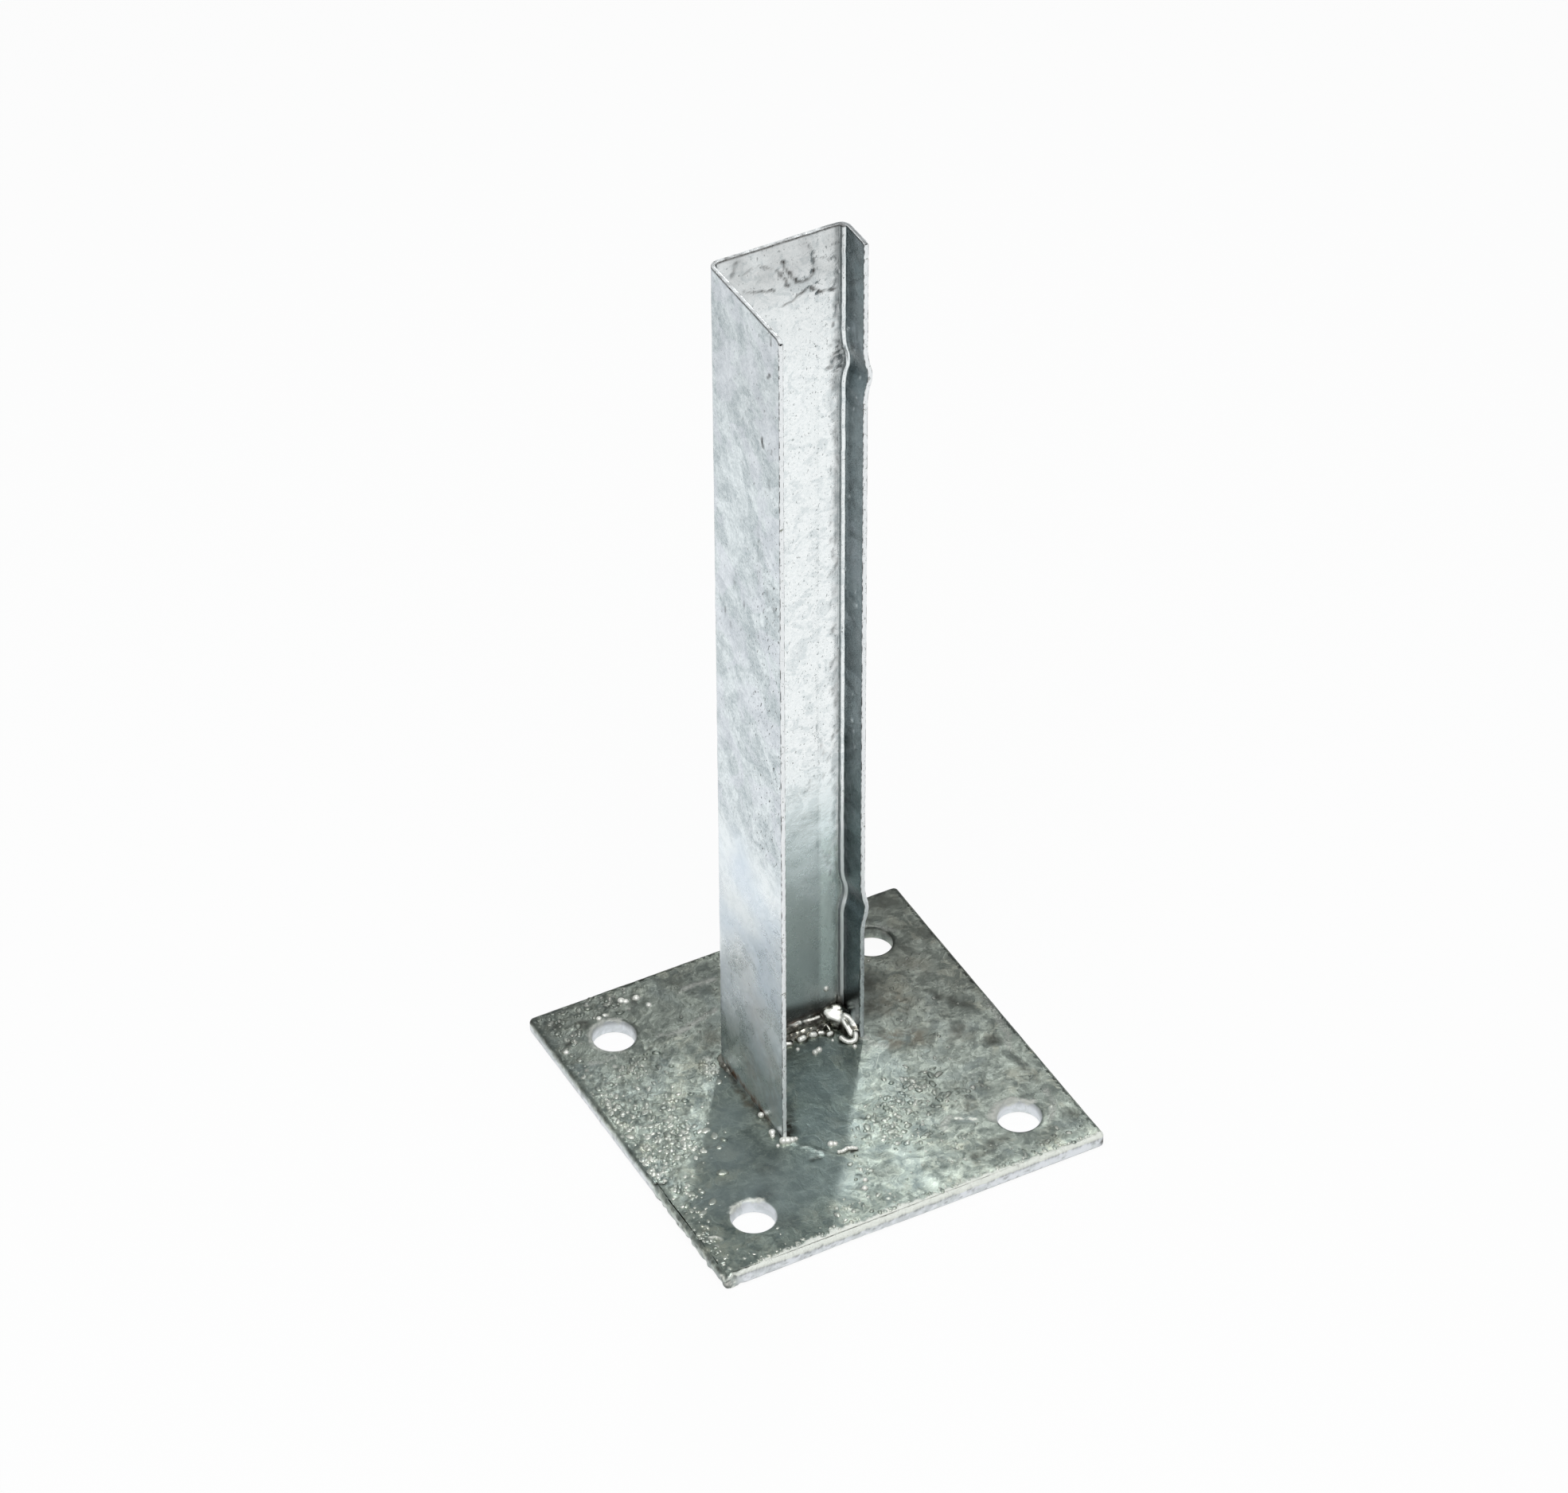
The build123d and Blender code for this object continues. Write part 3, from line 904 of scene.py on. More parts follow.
def makeCrumbs(material):
    # crumbs of zinc that stuck to the plate's top, each a lumpy flattened ball
    shaker = random.Random(plate["seed"] + 2)
    ball = bmesh.new()
    bmesh.ops.create_icosphere(ball, subdivisions=crumbs["roundness"], radius=1.0)
    knots = [vertex.co.copy() for vertex in ball.verts]
    corners = [[vertex.index for vertex in face.verts] for face in ball.faces]
    ball.free()
    points, faces, spots = [], [], []
    layers = {"glint": [], "gritty": [], "tone": []}
    for (middleX, middleY), (wide, deep), count, biggest in crumbFields:
        spots += [(shaker.gauss(middleX, wide), shaker.gauss(middleY, deep), biggest) for _ in range(count)]
    for _ in range(crumbs["edgeCount"]):
        x = shaker.uniform(*crumbs["edgeSpan"])
        y = -plateHalf + along(plate["bandWidth"], x) * shaker.uniform(0.75, 1.5)
        spots.append((x, y, crumbs["edgeLargest"]))
    for x, y, biggest in spots:
        size = shaker.random() ** 1.5
        radius = biggest * between(0.3, 1.0, size)
        stretch = shaker.uniform(*crumbs["stretch"])
        flat = shaker.uniform(*crumbs["flatness"]) - 0.1 * size
        turn = shaker.uniform(0, math.pi)
        glint = min(1.0, shaker.uniform(0.0, 1.15) ** 1.5) * (1 - 0.5 * size)
        if bareSpot(x, y):
            continue
        shape = Matrix.Rotation(turn, 3, "Z") @ Matrix.Diagonal((radius * stretch, radius, radius * flat))
        middle = dippedEdge(Vector((x, y, plateTop))) + Vector((0, 0, topRelief(x, y)))
        faces += [[len(points) + corner for corner in face] for face in corners]
        for knot in knots:
            place = shape @ knot
            swollen = 1 + crumbs["unevenness"] * lumps(*(middle + place), 0.9 * radius)
            points.append(middle + place * swollen)
        for name, value in zip(layers, (glint, 1.0, topShade(x, y))):
            layers[name] += [value] * len(knots)
    mesh = meshFrom("zincCrumbs", points, faces)
    skin = Skin(points)
    skin.layers = layers
    skin.paint(mesh, plateLayers)
    placePiece("zincCrumbs", mesh, material)


# Folded sheet with its ribs
sheet = {
    "thickness": 1.75,
    "bendRadius": 2.0,
    "halfWidth": 25.5,
    "shortFlangeEdge": 9.1,
    "columnStep": 0.9,
    "plainBendSteps": 5,
    "ribbedBendSteps": 14,
    "rowStep": 1.3,
    "fineRowStep": 0.58,
    "fineFrom": 284.0,
    "edgeSteps": 3,
    "edgeRounding": 0.3,
    "longCorner": 2.5,
    "shortCorner": 1.2,
    "sunk": 0.5,
    "ribDepth": 2.2,
    "ribBelow": 6.8,
    "ribAbove": 8.2,
    "ribHeights": [59.5, 290.0],
    "ribBlend": 3.0,
    "ribSamples": 9,
    "swellDepth": 0.11,
    "runDepth": 0.85,   # of the zinc that ran down the bend
    "dishSlope": 0.19,   # the web dishes towards the bend, so that the dark flange doesn't show in it
    "dishFrom": 15.0,
    "wrinkles": 150,   # beside the bend
    "wrinkleSpans": ((150, 340), (60, 150)),   # heights, where most of them and where the rest are
    "roughSpots": 60,   # on the upper rib's flank
    "roughMiddle": (22.0, 290.5),   # x and height
    "roughSpread": (1.6, 3.6),
    "bendDrops": 26,   # in the bend and on the short flange
    "bendDropHeights": (140, 200, 290),
    # how dark the painted shade on the strip beside the bend is, at heights above the plate
    "stripShare": [(0, 0.7), (80, 0.7), (120, 0.5), (200, 0.45), (225, 0.9), (300, 1.0), (344, 0.9)],
    "seed": 23,
}
webInside = uprightBox[1].y - sheet["thickness"]
flangeInside = sheet["halfWidth"] - sheet["thickness"]
bendStart = flangeInside - sheet["bendRadius"]
bendOuter = sheet["bendRadius"] + sheet["thickness"]
longEdge, shortEdge = uprightBox[0].y, sheet["shortFlangeEdge"]
sheetTop = uprightBox[1].z
outside, innerFace, freeEdge = 0, 1, 2   # the sides of the sheet

# marks on the inside of the web, as in plateMarks, with points of x and height above the plate
webMarks = {
    "swell": [
        (0.4, 9, (7.4, 334)), (0.34, 9.5, (-5, 331)), (0.2, 7, (16.5, 327)),
    ],
    "crease": [
        (-0.4, 1.1, (1.6, 337), (2.2, 334), (3.8, 331), (5.2, 328.6), (6.6, 326.7)),
        (-0.3, 0.9, (6.6, 326.7), (8.6, 325.6), (10.6, 325.9), (12.4, 327.6), (13, 330.5), (12.6, 334)),
        (-0.25, 0.8, (12.6, 334), (11.3, 338.6), (9.1, 341.4), (7.4, 342.6)),
        (-0.25, 0.8, (2.4, 343), (1.8, 340), (1.6, 337.5)),
        (-0.25, 0.8, (-13.1, 333), (-12.4, 335.6), (-10.5, 337), (-7.8, 337.3), (-4.5, 336), (-2, 334.2)),
        (-0.35, 0.9, (-2, 334), (0.2, 332), (1.4, 330), (2.6, 326.8), (2.9, 325.6)),
        (-0.25, 0.8, (-13, 329.2), (-11, 328.2), (-6.4, 327.1), (-3.5, 326.3), (-1.1, 325.6), (2.6, 325.6)),
        (-0.3, 0.8, (-3.4, 317.2), (-1.1, 318), (4.2, 319), (8.1, 320.8), (11.5, 322.8)),
        (-0.42, 0.9, (11.5, 322.8), (13.2, 320.8), (14.8, 319.5), (17.5, 318.9), (21.2, 318.4)),
        (-0.25, 0.7, (15.4, 333), (18.9, 331), (20.4, 331.4), (21.6, 333.4)),
        (-0.25, 0.7, (14, 323.4), (16.4, 322.6), (18.9, 323.2)),
        (0.22, 0.9, (11, 323.9), (12, 324.4), (13.6, 322.2)),
        (-0.3, 1, (-15, 341.4), (-16.6, 338.6), (-16.9, 335.4), (-15.9, 332.6)),
        (0.25, 0.9, (0.4, 336), (1, 332.6), (2.8, 329.4)),
        (-0.2, 0.7, (6.1, 297.1), (8.6, 298.4), (11.5, 297.9), (16.4, 297.5)),
        (-0.2, 0.6, (-14, 313.4), (-8, 314.8), (-2, 314)),
        (-0.12, 0.9, (14.6, 138), (15.1, 133.1), (15.8, 127.9), (16.9, 121.8)),
        (-0.25, 0.9, (16, 115), (15.6, 112)),
        (-0.14, 1, (14.6, 84.6), (16, 80.6), (17.6, 76.2), (19.6, 71)),
        (-0.08, 1.1, (19.4, 182), (18, 170), (19, 161), (18, 149), (16.6, 139)),
    ],
    "dirt": [
        (0.98, 1, (1.6, 336.5), (2.2, 333.6), (3.8, 330.8), (5.2, 328.4), (6.9, 326.6), (8.4, 325.9)),
        (0.75, 0.8, (8.4, 325.7), (10.6, 325.9), (12.4, 327.6), (13, 330.5), (12.4, 334)),
        (0.45, 0.7, (12.4, 335), (11.1, 338.6), (9.3, 341.2)),
        (0.52, 0.7, (-12.4, 335.6), (-10.5, 337), (-7.8, 337.3), (-4.5, 336), (-2, 334.2)),
        (0.75, 0.9, (-1, 333.4), (0.6, 331.6), (1.6, 329.8), (2.6, 326.8), (2.9, 325.6)),
        (0.75, 0.7, (-12.6, 329), (-10, 328), (-6.4, 327.1), (-3.5, 326.3), (-1.1, 325.6)),
        (0.75, 0.7, (1.5, 318.4), (4.2, 319), (8.1, 320.8), (11, 322.4)),
        (1, 0.8, (11.9, 322.4), (13.2, 320.8), (14.8, 319.5), (17.5, 318.9), (20.6, 318.4)),
        (0.6, 0.6, (15.6, 332.9), (18.9, 331), (20.6, 331.8)),
        (0.52, 1, (-15.2, 341), (-16.7, 338.4), (-16.9, 335.4)),
        (0.35, 0.8, (15.3, 131), (15.8, 127.9), (16.7, 123.4)), (0.4, 0.9, (16, 114.6), (15.6, 112.4)),
        (0.3, 0.9, (11.4, 114.4), (11, 111.5), (9.2, 109.4)),
        (0.35, 0.9, (16.2, 79.8), (17.6, 76.2), (19, 72.6)),
        (0.3, 1, (22.3, 168), (21.9, 150), (22.4, 133)),
    ],
    "glint": [
        (0.9, 0.7, (4.4, 332.6), (5.2, 330.8), (6.2, 329.4)), (0.7, 1, (9.6, 340), (11, 336.6)),
    ],
    "stain": [
        (0.95, 2, (-4, 5), (3, 5.2), (9, 5.4), (12, 5.6), (16.6, 5)),
    ],
}

# dark slits, pits and notches on the long flange's outside, with points of y and height
flangeMarks = {
    "dirt": [
        (0.9, 0.8, (-12.7, 299), (-13, 294.6)), (0.75, 0.9, (-16.2, 324.8), (-18, 326.6)),
        (0.8, 0.8, (-18.6, 342.6), (-19, 339)), (0.5, 0.7, (-19.1, 297.2), (-18.6, 295.4)),
        (0.5, 0.7, (-14, 278.2), (-14.6, 276.6)), (0.4, 1, (-16.5, 284), (-17.4, 281)),
        (0.55, 0.8, (14.7, 210.4), (14.2, 208)), (0.5, 1.1, (11.4, 206.8), (10.2, 204.6)),
        (0.5, 0.7, (1.1, 221.8), (1, 219.2)), (0.55, 0.9, (8.6, 226.2), (6.4, 224.6)),
        (0.5, 1, (-19, 234), (-20.4, 229.6)), (0.4, 1.1, (-15, 238), (-16.6, 233.4)),
        (0.45, 0.8, (22.2, 200), (22, 198)), (0.22, 0.9, (-9, 262), (-9.2, 248), (-9.6, 236)),
        (0.8, 1.3, (21.4, 1.2), (10, 1), (-6, 0.8), (-16, 0.6), (-23, 0.6)),
    ],
    "crease": [
        (-0.25, 1, (-15.8, 325), (-17.2, 326), (-18.4, 324.6)),
        (-0.18, 0.8, (-9, 300), (-11.4, 285), (-10.2, 262), (-9, 248), (-9.6, 236)),
    ],
    "stain": [
        (0.9, 2.2, (20, 2.2), (8, 2), (-4, 1.8), (-14, 1.6)), (0.25, 12, (-4, 12), (-12, 14), (-18, 12)),
        (0.16, 12, (-4, 42), (-11, 38), (-16, 24)),
    ],
}


def ribOut(height):
    # how far the ribbed side stands out at a height above the plate
    out = 0.0
    samples = sheet["ribSamples"]
    for step in range(samples):
        level = height + sheet["ribBlend"] * (2 * step / (samples - 1) - 1)
        for crest in sheet["ribHeights"]:
            flank = sheet["ribBelow"] if level < crest else sheet["ribAbove"]
            out += max(0.0, 1 - abs(level - crest) / flank) / samples
    return sheet["ribDepth"] * out


def sheetStations():
    # place and outward direction at each step along the middle of the sheet
    half = sheet["halfWidth"] - sheet["thickness"] / 2
    back = uprightBox[1].y - sheet["thickness"] / 2
    radius = sheet["bendRadius"] + sheet["thickness"] / 2
    ends = sheet["edgeRounding"]
    stations = []

    def straight(start, stop, outward):
        for place in pointsAlong([start, stop], sheet["columnStep"]):
            stations.append((place, Vector(outward)))

    def bend(centre, fromTurn, steps):
        for step in range(steps):
            outward = direction(fromTurn - math.pi / 2 * step / steps)
            stations.append((Vector(centre) + radius * outward, outward))

    straight((-half, longEdge + ends), (-half, back - radius), (-1, 0))
    bend((-half + radius, back - radius), math.pi, sheet["plainBendSteps"])
    straight((-half + radius, back), (half - radius, back), (0, 1))
    bend((half - radius, back - radius), math.pi / 2, sheet["ribbedBendSteps"])
    straight((half, back - radius), (half, shortEdge + ends), (1, 0))
    stations.append((Vector((half, shortEdge + ends)), Vector((1, 0))))
    return stations


def sheetRows():
    # height and inset of each row of points, from inside the plate to the rounded top
    rounding = sheet["edgeRounding"]
    levels = [plateTop - sheet["sunk"]]
    while levels[-1] < sheetTop - rounding - sheet["fineRowStep"]:
        fine = levels[-1] > sheet["fineFrom"]
        levels.append(levels[-1] + (sheet["fineRowStep"] if fine else sheet["rowStep"]))
    rows = [(level, 0.0) for level in levels[:-1]]
    for step in range(sheet["edgeSteps"] + 1):
        turn = math.pi / 2 * step / sheet["edgeSteps"]
        rows.append((sheetTop - rounding * (1 - math.sin(turn)), rounding * (1 - math.cos(turn))))
    return rows


def layoutSheet():
    # points, their outward directions, their sides and the faces
    stations = sheetStations()
    count = len(stations)
    halfSheet = sheet["thickness"] / 2
    rounding = sheet["edgeRounding"]
    points, outwards, sides, faces, loops = [], [], [], [], []
    turns = [math.pi / 2 * step / sheet["edgeSteps"] for step in range(1, sheet["edgeSteps"] + 1)]
    cap = [(halfSheet - rounding * (1 - math.cos(turn)), math.sin(turn)) for turn in turns] + [(0.0, 1.0)]
    cap += [(-side, depth) for side, depth in reversed(cap[:-1])]

    def put(place, level, outward, side):
        points.append(Vector((place.x, place.y, level)))
        outwards.append(outward)
        sides.append(side)

    def putCap(station, facing, level, inset):
        tip, outward = station
        for side, depth in cap:
            across = outward * facing * side * (1 - inset / halfSheet)
            spot = tip + across + Vector((0, -1)) * rounding * depth * (1 - inset)
            put(spot, level, Vector((0, -1)), freeEdge)

    for level, inset in sheetRows():
        loops.append(len(points))
        for middle, outward in stations:
            put(middle + outward * (halfSheet - inset), level, outward, outside)
        putCap(stations[-1], 1, level, inset)
        for middle, outward in reversed(stations):
            put(middle - outward * (halfSheet - inset), level, -outward, innerFace)
        putCap(stations[0], -1, level, inset)
    around = 2 * count + 2 * len(cap)
    for lower, upper in zip(loops, loops[1:]):
        for step in range(around):
            after = (step + 1) % around
            faces.append([lower + after, lower + step, upper + step, upper + after])
    for loop, upwards in ((loops[0], False), (loops[-1], True)):
        inner = loop + 2 * count + len(cap) - 1
        strip = [[loop + step + 1, loop + step, inner - step, inner - step - 1] for step in range(count - 1)]
        strip.append([loop + count - 1 + step for step in range(len(cap) + 2)])
        strip.append([inner + step for step in range(len(cap) + 1)] + [loop])
        faces.extend(face if upwards else face[::-1] for face in strip)
    return points, outwards, sides, faces


def onWeb(x, height):
    return Vector((x, webInside, plateTop + height))


def onFlange(y, height):
    return Vector((uprightBox[0].x, y, plateTop + height))


def markSheet(skin):
    # creases, runs, pits and soot
    shaker = random.Random(sheet["seed"])
    skin.marks(webMarks, onWeb, innerFace)
    skin.marks(flangeMarks, onFlange, outside)
    upper, lower = sheet["wrinkleSpans"]
    for _ in range(sheet["wrinkles"]):
        height = shaker.uniform(*(upper if shaker.random() < 0.8 else lower))
        start = onWeb(shaker.uniform(18.8, 21.6), height)
        line = [start, start + Vector((shaker.uniform(-1.0, 0.8), 0, shaker.uniform(-3.5, -1.0)))]
        skin.stroke("crease", line, shaker.uniform(0.5, 0.8), shaker.choice((-0.15, -0.1, 0.12)), innerFace)
        layer = "glint" if shaker.random() < 0.35 else "dirt"
        skin.stroke(layer, line, 0.6, shaker.uniform(0.2, 0.6), innerFace)
    for _ in range(sheet["roughSpots"]):
        place = onWeb(*[shaker.gauss(*pair) for pair in zip(sheet["roughMiddle"], sheet["roughSpread"])])
        skin.dab("crumb", place, shaker.uniform(0.7, 1.1), shaker.uniform(-0.4, 0.4), innerFace)
        skin.dab("dirt", place, shaker.uniform(0.8, 1.6), shaker.uniform(0.2, 0.85), innerFace)
        if shaker.random() < 0.3:
            skin.dab("glint", place + Vector((0.6, 0, 0.4)), 0.7, 0.9, innerFace)
    for _ in range(sheet["bendDrops"]):
        y = shaker.uniform(12, 22)
        height = plateTop + shaker.choice(sheet["bendDropHeights"]) + shaker.gauss(0, 14)
        place = Vector((flangeInside, y, height))
        skin.dab("crumb", place, 0.8, 0.3, innerFace)
        skin.dab("glint", place, 0.6, 0.7, innerFace)


class SheetSpot:
    # a point of the true sheet, with what its relief and its paint go by
    def __init__(self, point, outward, side):
        self.x, self.y, self.z = point
        self.outward = outward
        self.side = side
        self.height = self.z - plateTop
        self.atLong = self.x < -bendStart and self.y < longEdge + 2.0
        self.atShort = self.x > bendStart and self.y < shortEdge + 1.5
        self.inBend = self.x > bendStart - 0.05 and self.y > webInside - 2.05
        # degrees round the inside of the ribbed bend, 0 at the web, along lines that waver
        level = self.height
        self.turn = math.degrees(math.atan2(self.x - bendStart, self.y - webInside + sheet["bendRadius"]))
        self.turn += 6.0 * lumps(0, 0, level, 6.0, 4.0) + 4.0 * lumps(0, 0, level, 2.2, 7.0)

    def lifted(self):
        # relief of the zinc at rest on the true sheet, before its marks
        x, y, height, side = self.x, self.y, self.height, self.side
        relief = sheet["swellDepth"] * lumps(x + y, height, 7.0 * side, 9.0)
        relief += 0.03 * lumps(x + y, height, side, 2.4)
        if side == innerFace:
            bend = ease(x, bendStart - 1.5, bendStart + 0.6) * ease(y, webInside - 3.4, webInside - 1.6)
            ripple = 0.10 * bend * lumps(0, 0, height, 5.5, 8.0)
            ripple += 0.06 * bend * lumps(0, 0, height, 2.3, 3.0)
            relief += ripple
            if bend > 0:   # the run of zinc down the bend
                rise = sheet["runDepth"] * ease(self.turn, 4, 41)
                relief += rise * ease(self.turn, 89, 45) * ease(height, 9.0, 14.0)
        return relief

    def placed(self, marked):
        # where the point goes: out by its relief, the rib, the uneven free edges and the rounded corners
        x, y, z, height = self.x, self.y, self.z, self.height
        relief = self.lifted() + marked
        highest = 2.2 * sheet["swellDepth"] if self.side == outside else 0.0
        shift = relief if self.side == innerFace else min(0.0, relief - highest)
        lap = sheet["ribDepth"] + sheet["thickness"]
        place = Vector((x + self.outward.x * shift, y + self.outward.y * shift, z))
        place.x += min(1.0, max(0.0, (x - bendStart + lap) / lap)) * ribOut(height)
        if self.atLong or self.atShort:
            edge = longEdge if self.atLong else shortEdge
            bite = 0.10 * (1 + lumps(x, 0, height, 7.0, 1.0)) + 0.03 * (1 + lumps(0, 0, height, 1.9, 2.0))
            place.y += ease(y, edge + 1.6, edge) * bite
        uneven = 0.10 * (1 + lumps(x, y, 0, 5.0, 6.0)) + 0.05 * (1 + lumps(x, y, 0, 1.8, 9.0))
        lowered = 0.0
        if x < 0:
            lowered = comeDown(sheet["longCorner"], max(y - longEdge, 0.0))
        elif x > bendStart:
            lowered = comeDown(sheet["shortCorner"], max(y - shortEdge, 0.0))
        lowered *= ease(z, sheetTop - 9, sheetTop)
        place.z -= lowered + uneven * ease(z, sheetTop - 1.5, sheetTop - 0.3)
        return place


def paintInside(skin, index, spot):
    # bright web, with painted shade on the strip beside the bend and on the short flange; the run of zinc
    # down the bend between them gets a painted highlight low down
    x, y, height, turn = spot.x, spot.y, spot.height, spot.turn
    web = ease(y, webInside - 1.9, webInside - 0.6)
    strip = ease(x + 1.5 * lumps(0, 0, height, 8.0, 2.0) + 0.7 * lumps(0, 0, height, 3.0, 2.0), 19.7, 21.4)
    strip *= along(sheet["stripShare"], height)
    lower = matt = 0.0
    if spot.inBend:
        shine = ease(turn, 38, 45) * ease(turn, 84, 76)
        # painted highlight on the run of zinc in the bend, low down
        skin.raiseTo("glint", index, shine * ease(height, 9.0, 14.0) * ease(height, 125, 85))
        shaded = between(0.7 * strip, 1.0, ease(turn, 42, 60)) * (1 - shine)
        matt = max(0.7 * shine * ease(height, 120, 80), 0.5 * ease(turn, 4, 16) * ease(turn, 46, 38))
    elif x > bendStart:
        shaded = between(1.0, 0.88, ease(y, webInside - 3, shortEdge + 2))
        shaded -= 0.06 * ease(height, 296, 320) + 0.12 * ease(height, 60, 35)
    else:
        shaded = web * 0.7 * strip
        lower = web * 0.85 * ease(height, 130, 80)
        matt = 0.3 * lower
    bandTop = 13.1 - 0.17 * x   # dark band over the inside bead
    band = ease(height, bandTop + 3.0, bandTop - 2.0) * ease(height, 3.5, 6.0)
    band *= ease(y, webInside - 4, webInside - 1)
    # painted shade: the lower web, which mirrors the shaded plate, is darker towards the foot
    tone = (1.0 - 0.32 * ease(height, 85, 30) * web) * (1 - 0.85 * band)
    tone *= 1 - 0.08 * web * ease(height, 285, 312)
    tone *= 1 - web * ease(height, 314, 332) * (0.24 + 0.16 * lumps(x, 0, height, 6.0, 3.0))
    inside = 1.0 if x < bendStart or spot.inBend else 0.0
    slope = sheet["dishSlope"] * max(0.0, min(x, bendStart) - sheet["dishFrom"])
    skin.put(index, shaded=shaded, lower=lower, matt=matt, tone=tone, inside=inside, slope=slope)


def paintOutside(skin, index, spot):
    # painted reflection: the foot is painted paler and matt where it mirrors the pale floor, and the long
    # flange is speckled half way up
    x, y, height = spot.x, spot.y, spot.height
    lower = ease(height, 128, 104) * (1 - 0.30 * ease(height, 60, 10))
    matt = 0.45 * lower * ease(height, 12.0, 45.0) * ease(height, 102.0, 78.0)
    skin.put(index, lower=lower, matt=matt)
    if x < -bendStart:
        speckled = ease(height, 96, 112) * ease(height, 262, 236) * ease(y, 2.0, -12.0)
        speckled += 0.35 * ease(y, 10.0, -20.0)
        skin.put(index, specky=speckled, tone=1.0 - 0.12 * ease(height, 262, 318))


def paintEdges(skin, index, spot):
    # pale cut edges between broken dark lines
    x, y, z, height, side = spot.x, spot.y, spot.z, spot.height, spot.side
    if side == freeEdge:
        skin.put(index, edge=between(0.3, 1.0, ease(height, 40, 75)) if x > 0 else 1.0, matt=0.4)
        if abs(abs(x) - sheet["halfWidth"] + 0.5 * sheet["thickness"]) > 0.38 * sheet["thickness"]:
            skin.raiseTo("dirt", index, ease(lumps(x, 0, height, 2.0), -0.1, 0.15))
    elif z > sheetTop - 0.15:
        skin.put(index, edge=0.9, matt=0.85)
        skin.raiseTo("dirt", index, 0.2 + 0.8 * lumps(x, y, 0, 1.6, 4.0))
    if side == outside and y < longEdge + 0.7:
        skin.raiseTo("dirt", index, 0.75 * ease(lumps(x, 0, height, 2.6), -0.05, 0.25))
    if side != freeEdge and sheetTop - 0.45 < z < sheetTop - 0.1:
        skin.raiseTo("dirt", index, 0.85 + 0.4 * lumps(x, y, 0, 2.6))


def makeUpright(material):
    points, outwards, sides, faces = layoutSheet()
    skin = Skin(points, sides)
    markSheet(skin)
    swell, crease, crumb = [skin.layer(name) for name in ("swell", "crease", "crumb")]
    placed = []
    for index, (point, outward, side) in enumerate(zip(points, outwards, sides)):
        spot = SheetSpot(point, outward, side)
        placed.append(spot.placed(swell[index] + crease[index] + crumb[index]))
        skin.put(index, specky=0.25, tone=1.0)
        if side == innerFace:
            paintInside(skin, index, spot)
        elif side == outside:
            paintOutside(skin, index, spot)
        paintEdges(skin, index, spot)
    mesh = meshFrom("zincUpright", placed, faces)
    skin.paint(mesh, sheetLayers)
    placePiece("zincUpright", mesh, material, ["upright"])


# Weld beads: balls of metal that have run together
def fuse(name, balls, voxel, cuts=()):
    lump = bmesh.new()
    for x, y, z, radius in balls:
        place = Matrix.Translation(Vector((x, y, z)) * mm)
        bmesh.ops.create_icosphere(lump, subdivisions=beads["roundness"], radius=radius * mm, matrix=place)
    rawMesh = bpy.data.meshes.new(name + "Raw")
    lump.to_mesh(rawMesh)
    lump.free()
    raw = bpy.data.objects.new(name + "Raw", rawMesh)
    bpy.context.scene.collection.objects.link(raw)
    skin = raw.modifiers.new("fuse", "REMESH")
    skin.mode = "VOXEL"
    skin.voxel_size = voxel * mm
    soften = raw.modifiers.new("soften", "SMOOTH")
    soften.factor = beads["softening"]
    soften.iterations = beads["softenings"]
    graph = bpy.context.evaluated_depsgraph_get()
    mesh = bpy.data.meshes.new_from_object(raw.evaluated_get(graph))
    bpy.data.objects.remove(raw)
    trimmed = bmesh.new()
    trimmed.from_mesh(mesh)
    for point, outward in cuts:
        everything = trimmed.verts[:] + trimmed.edges[:] + trimmed.faces[:]
        where = Vector(point) * mm
        bmesh.ops.bisect_plane(trimmed, geom=everything, plane_co=where, plane_no=outward, clear_outer=True)
        rim = [edge for edge in trimmed.edges if edge.is_boundary]
        bmesh.ops.contextual_create(trimmed, geom=rim)
    trimmed.to_mesh(mesh)
    trimmed.free()
    mesh.name = name
    return mesh


def paintBead(mesh, dabs):
    # soot in the hollows, painted shadow under the sliver and painted highlights on the crests; a dab is a
    # layer, a strength, a radius and a place
    skin = Skin([vertex.co / mm for vertex in mesh.vertices])
    for name, amount, radius, place in dabs:
        skin.dab(name, Vector(place), radius, amount)
    skin.paint(mesh, weldLayers)


beads = {
    "sink": 1.5,   # how deep the middle of a bead's balls lies in the plate and in the sheet
    "pitch": 2.6,
    "finePitch": 0.9,
    "facing": (-0.294, -0.516, 0.804),   # way that the bead's smooth faces look
    "legAtStart": 3.4,
    "legAtEnd": 4.6,
    "insideStop": 6.2,
    "insideLap": 0.3,   # how far the beads go into the sheet and the plate, so that no gap shows
    "plateLap": 0.6,
    "behindLeg": 3.0,
    "behindLegAtEnds": 0.5,
    "behindWrap": 6.0,
    "behindTaper": 16.0,
    "voxel": 0.26,
    "dropVoxel": 0.16,
    "roundness": 3,   # how many times a ball's faces are split
    "softening": 0.5,
    "softenings": 3,
    "arcSteps": 8,
    "seed": 11,
}
beadLevel = plateTop - beads["sink"]
plateCut = ((0, 0, plateTop - beads["plateLap"]), (0, 0, -1))

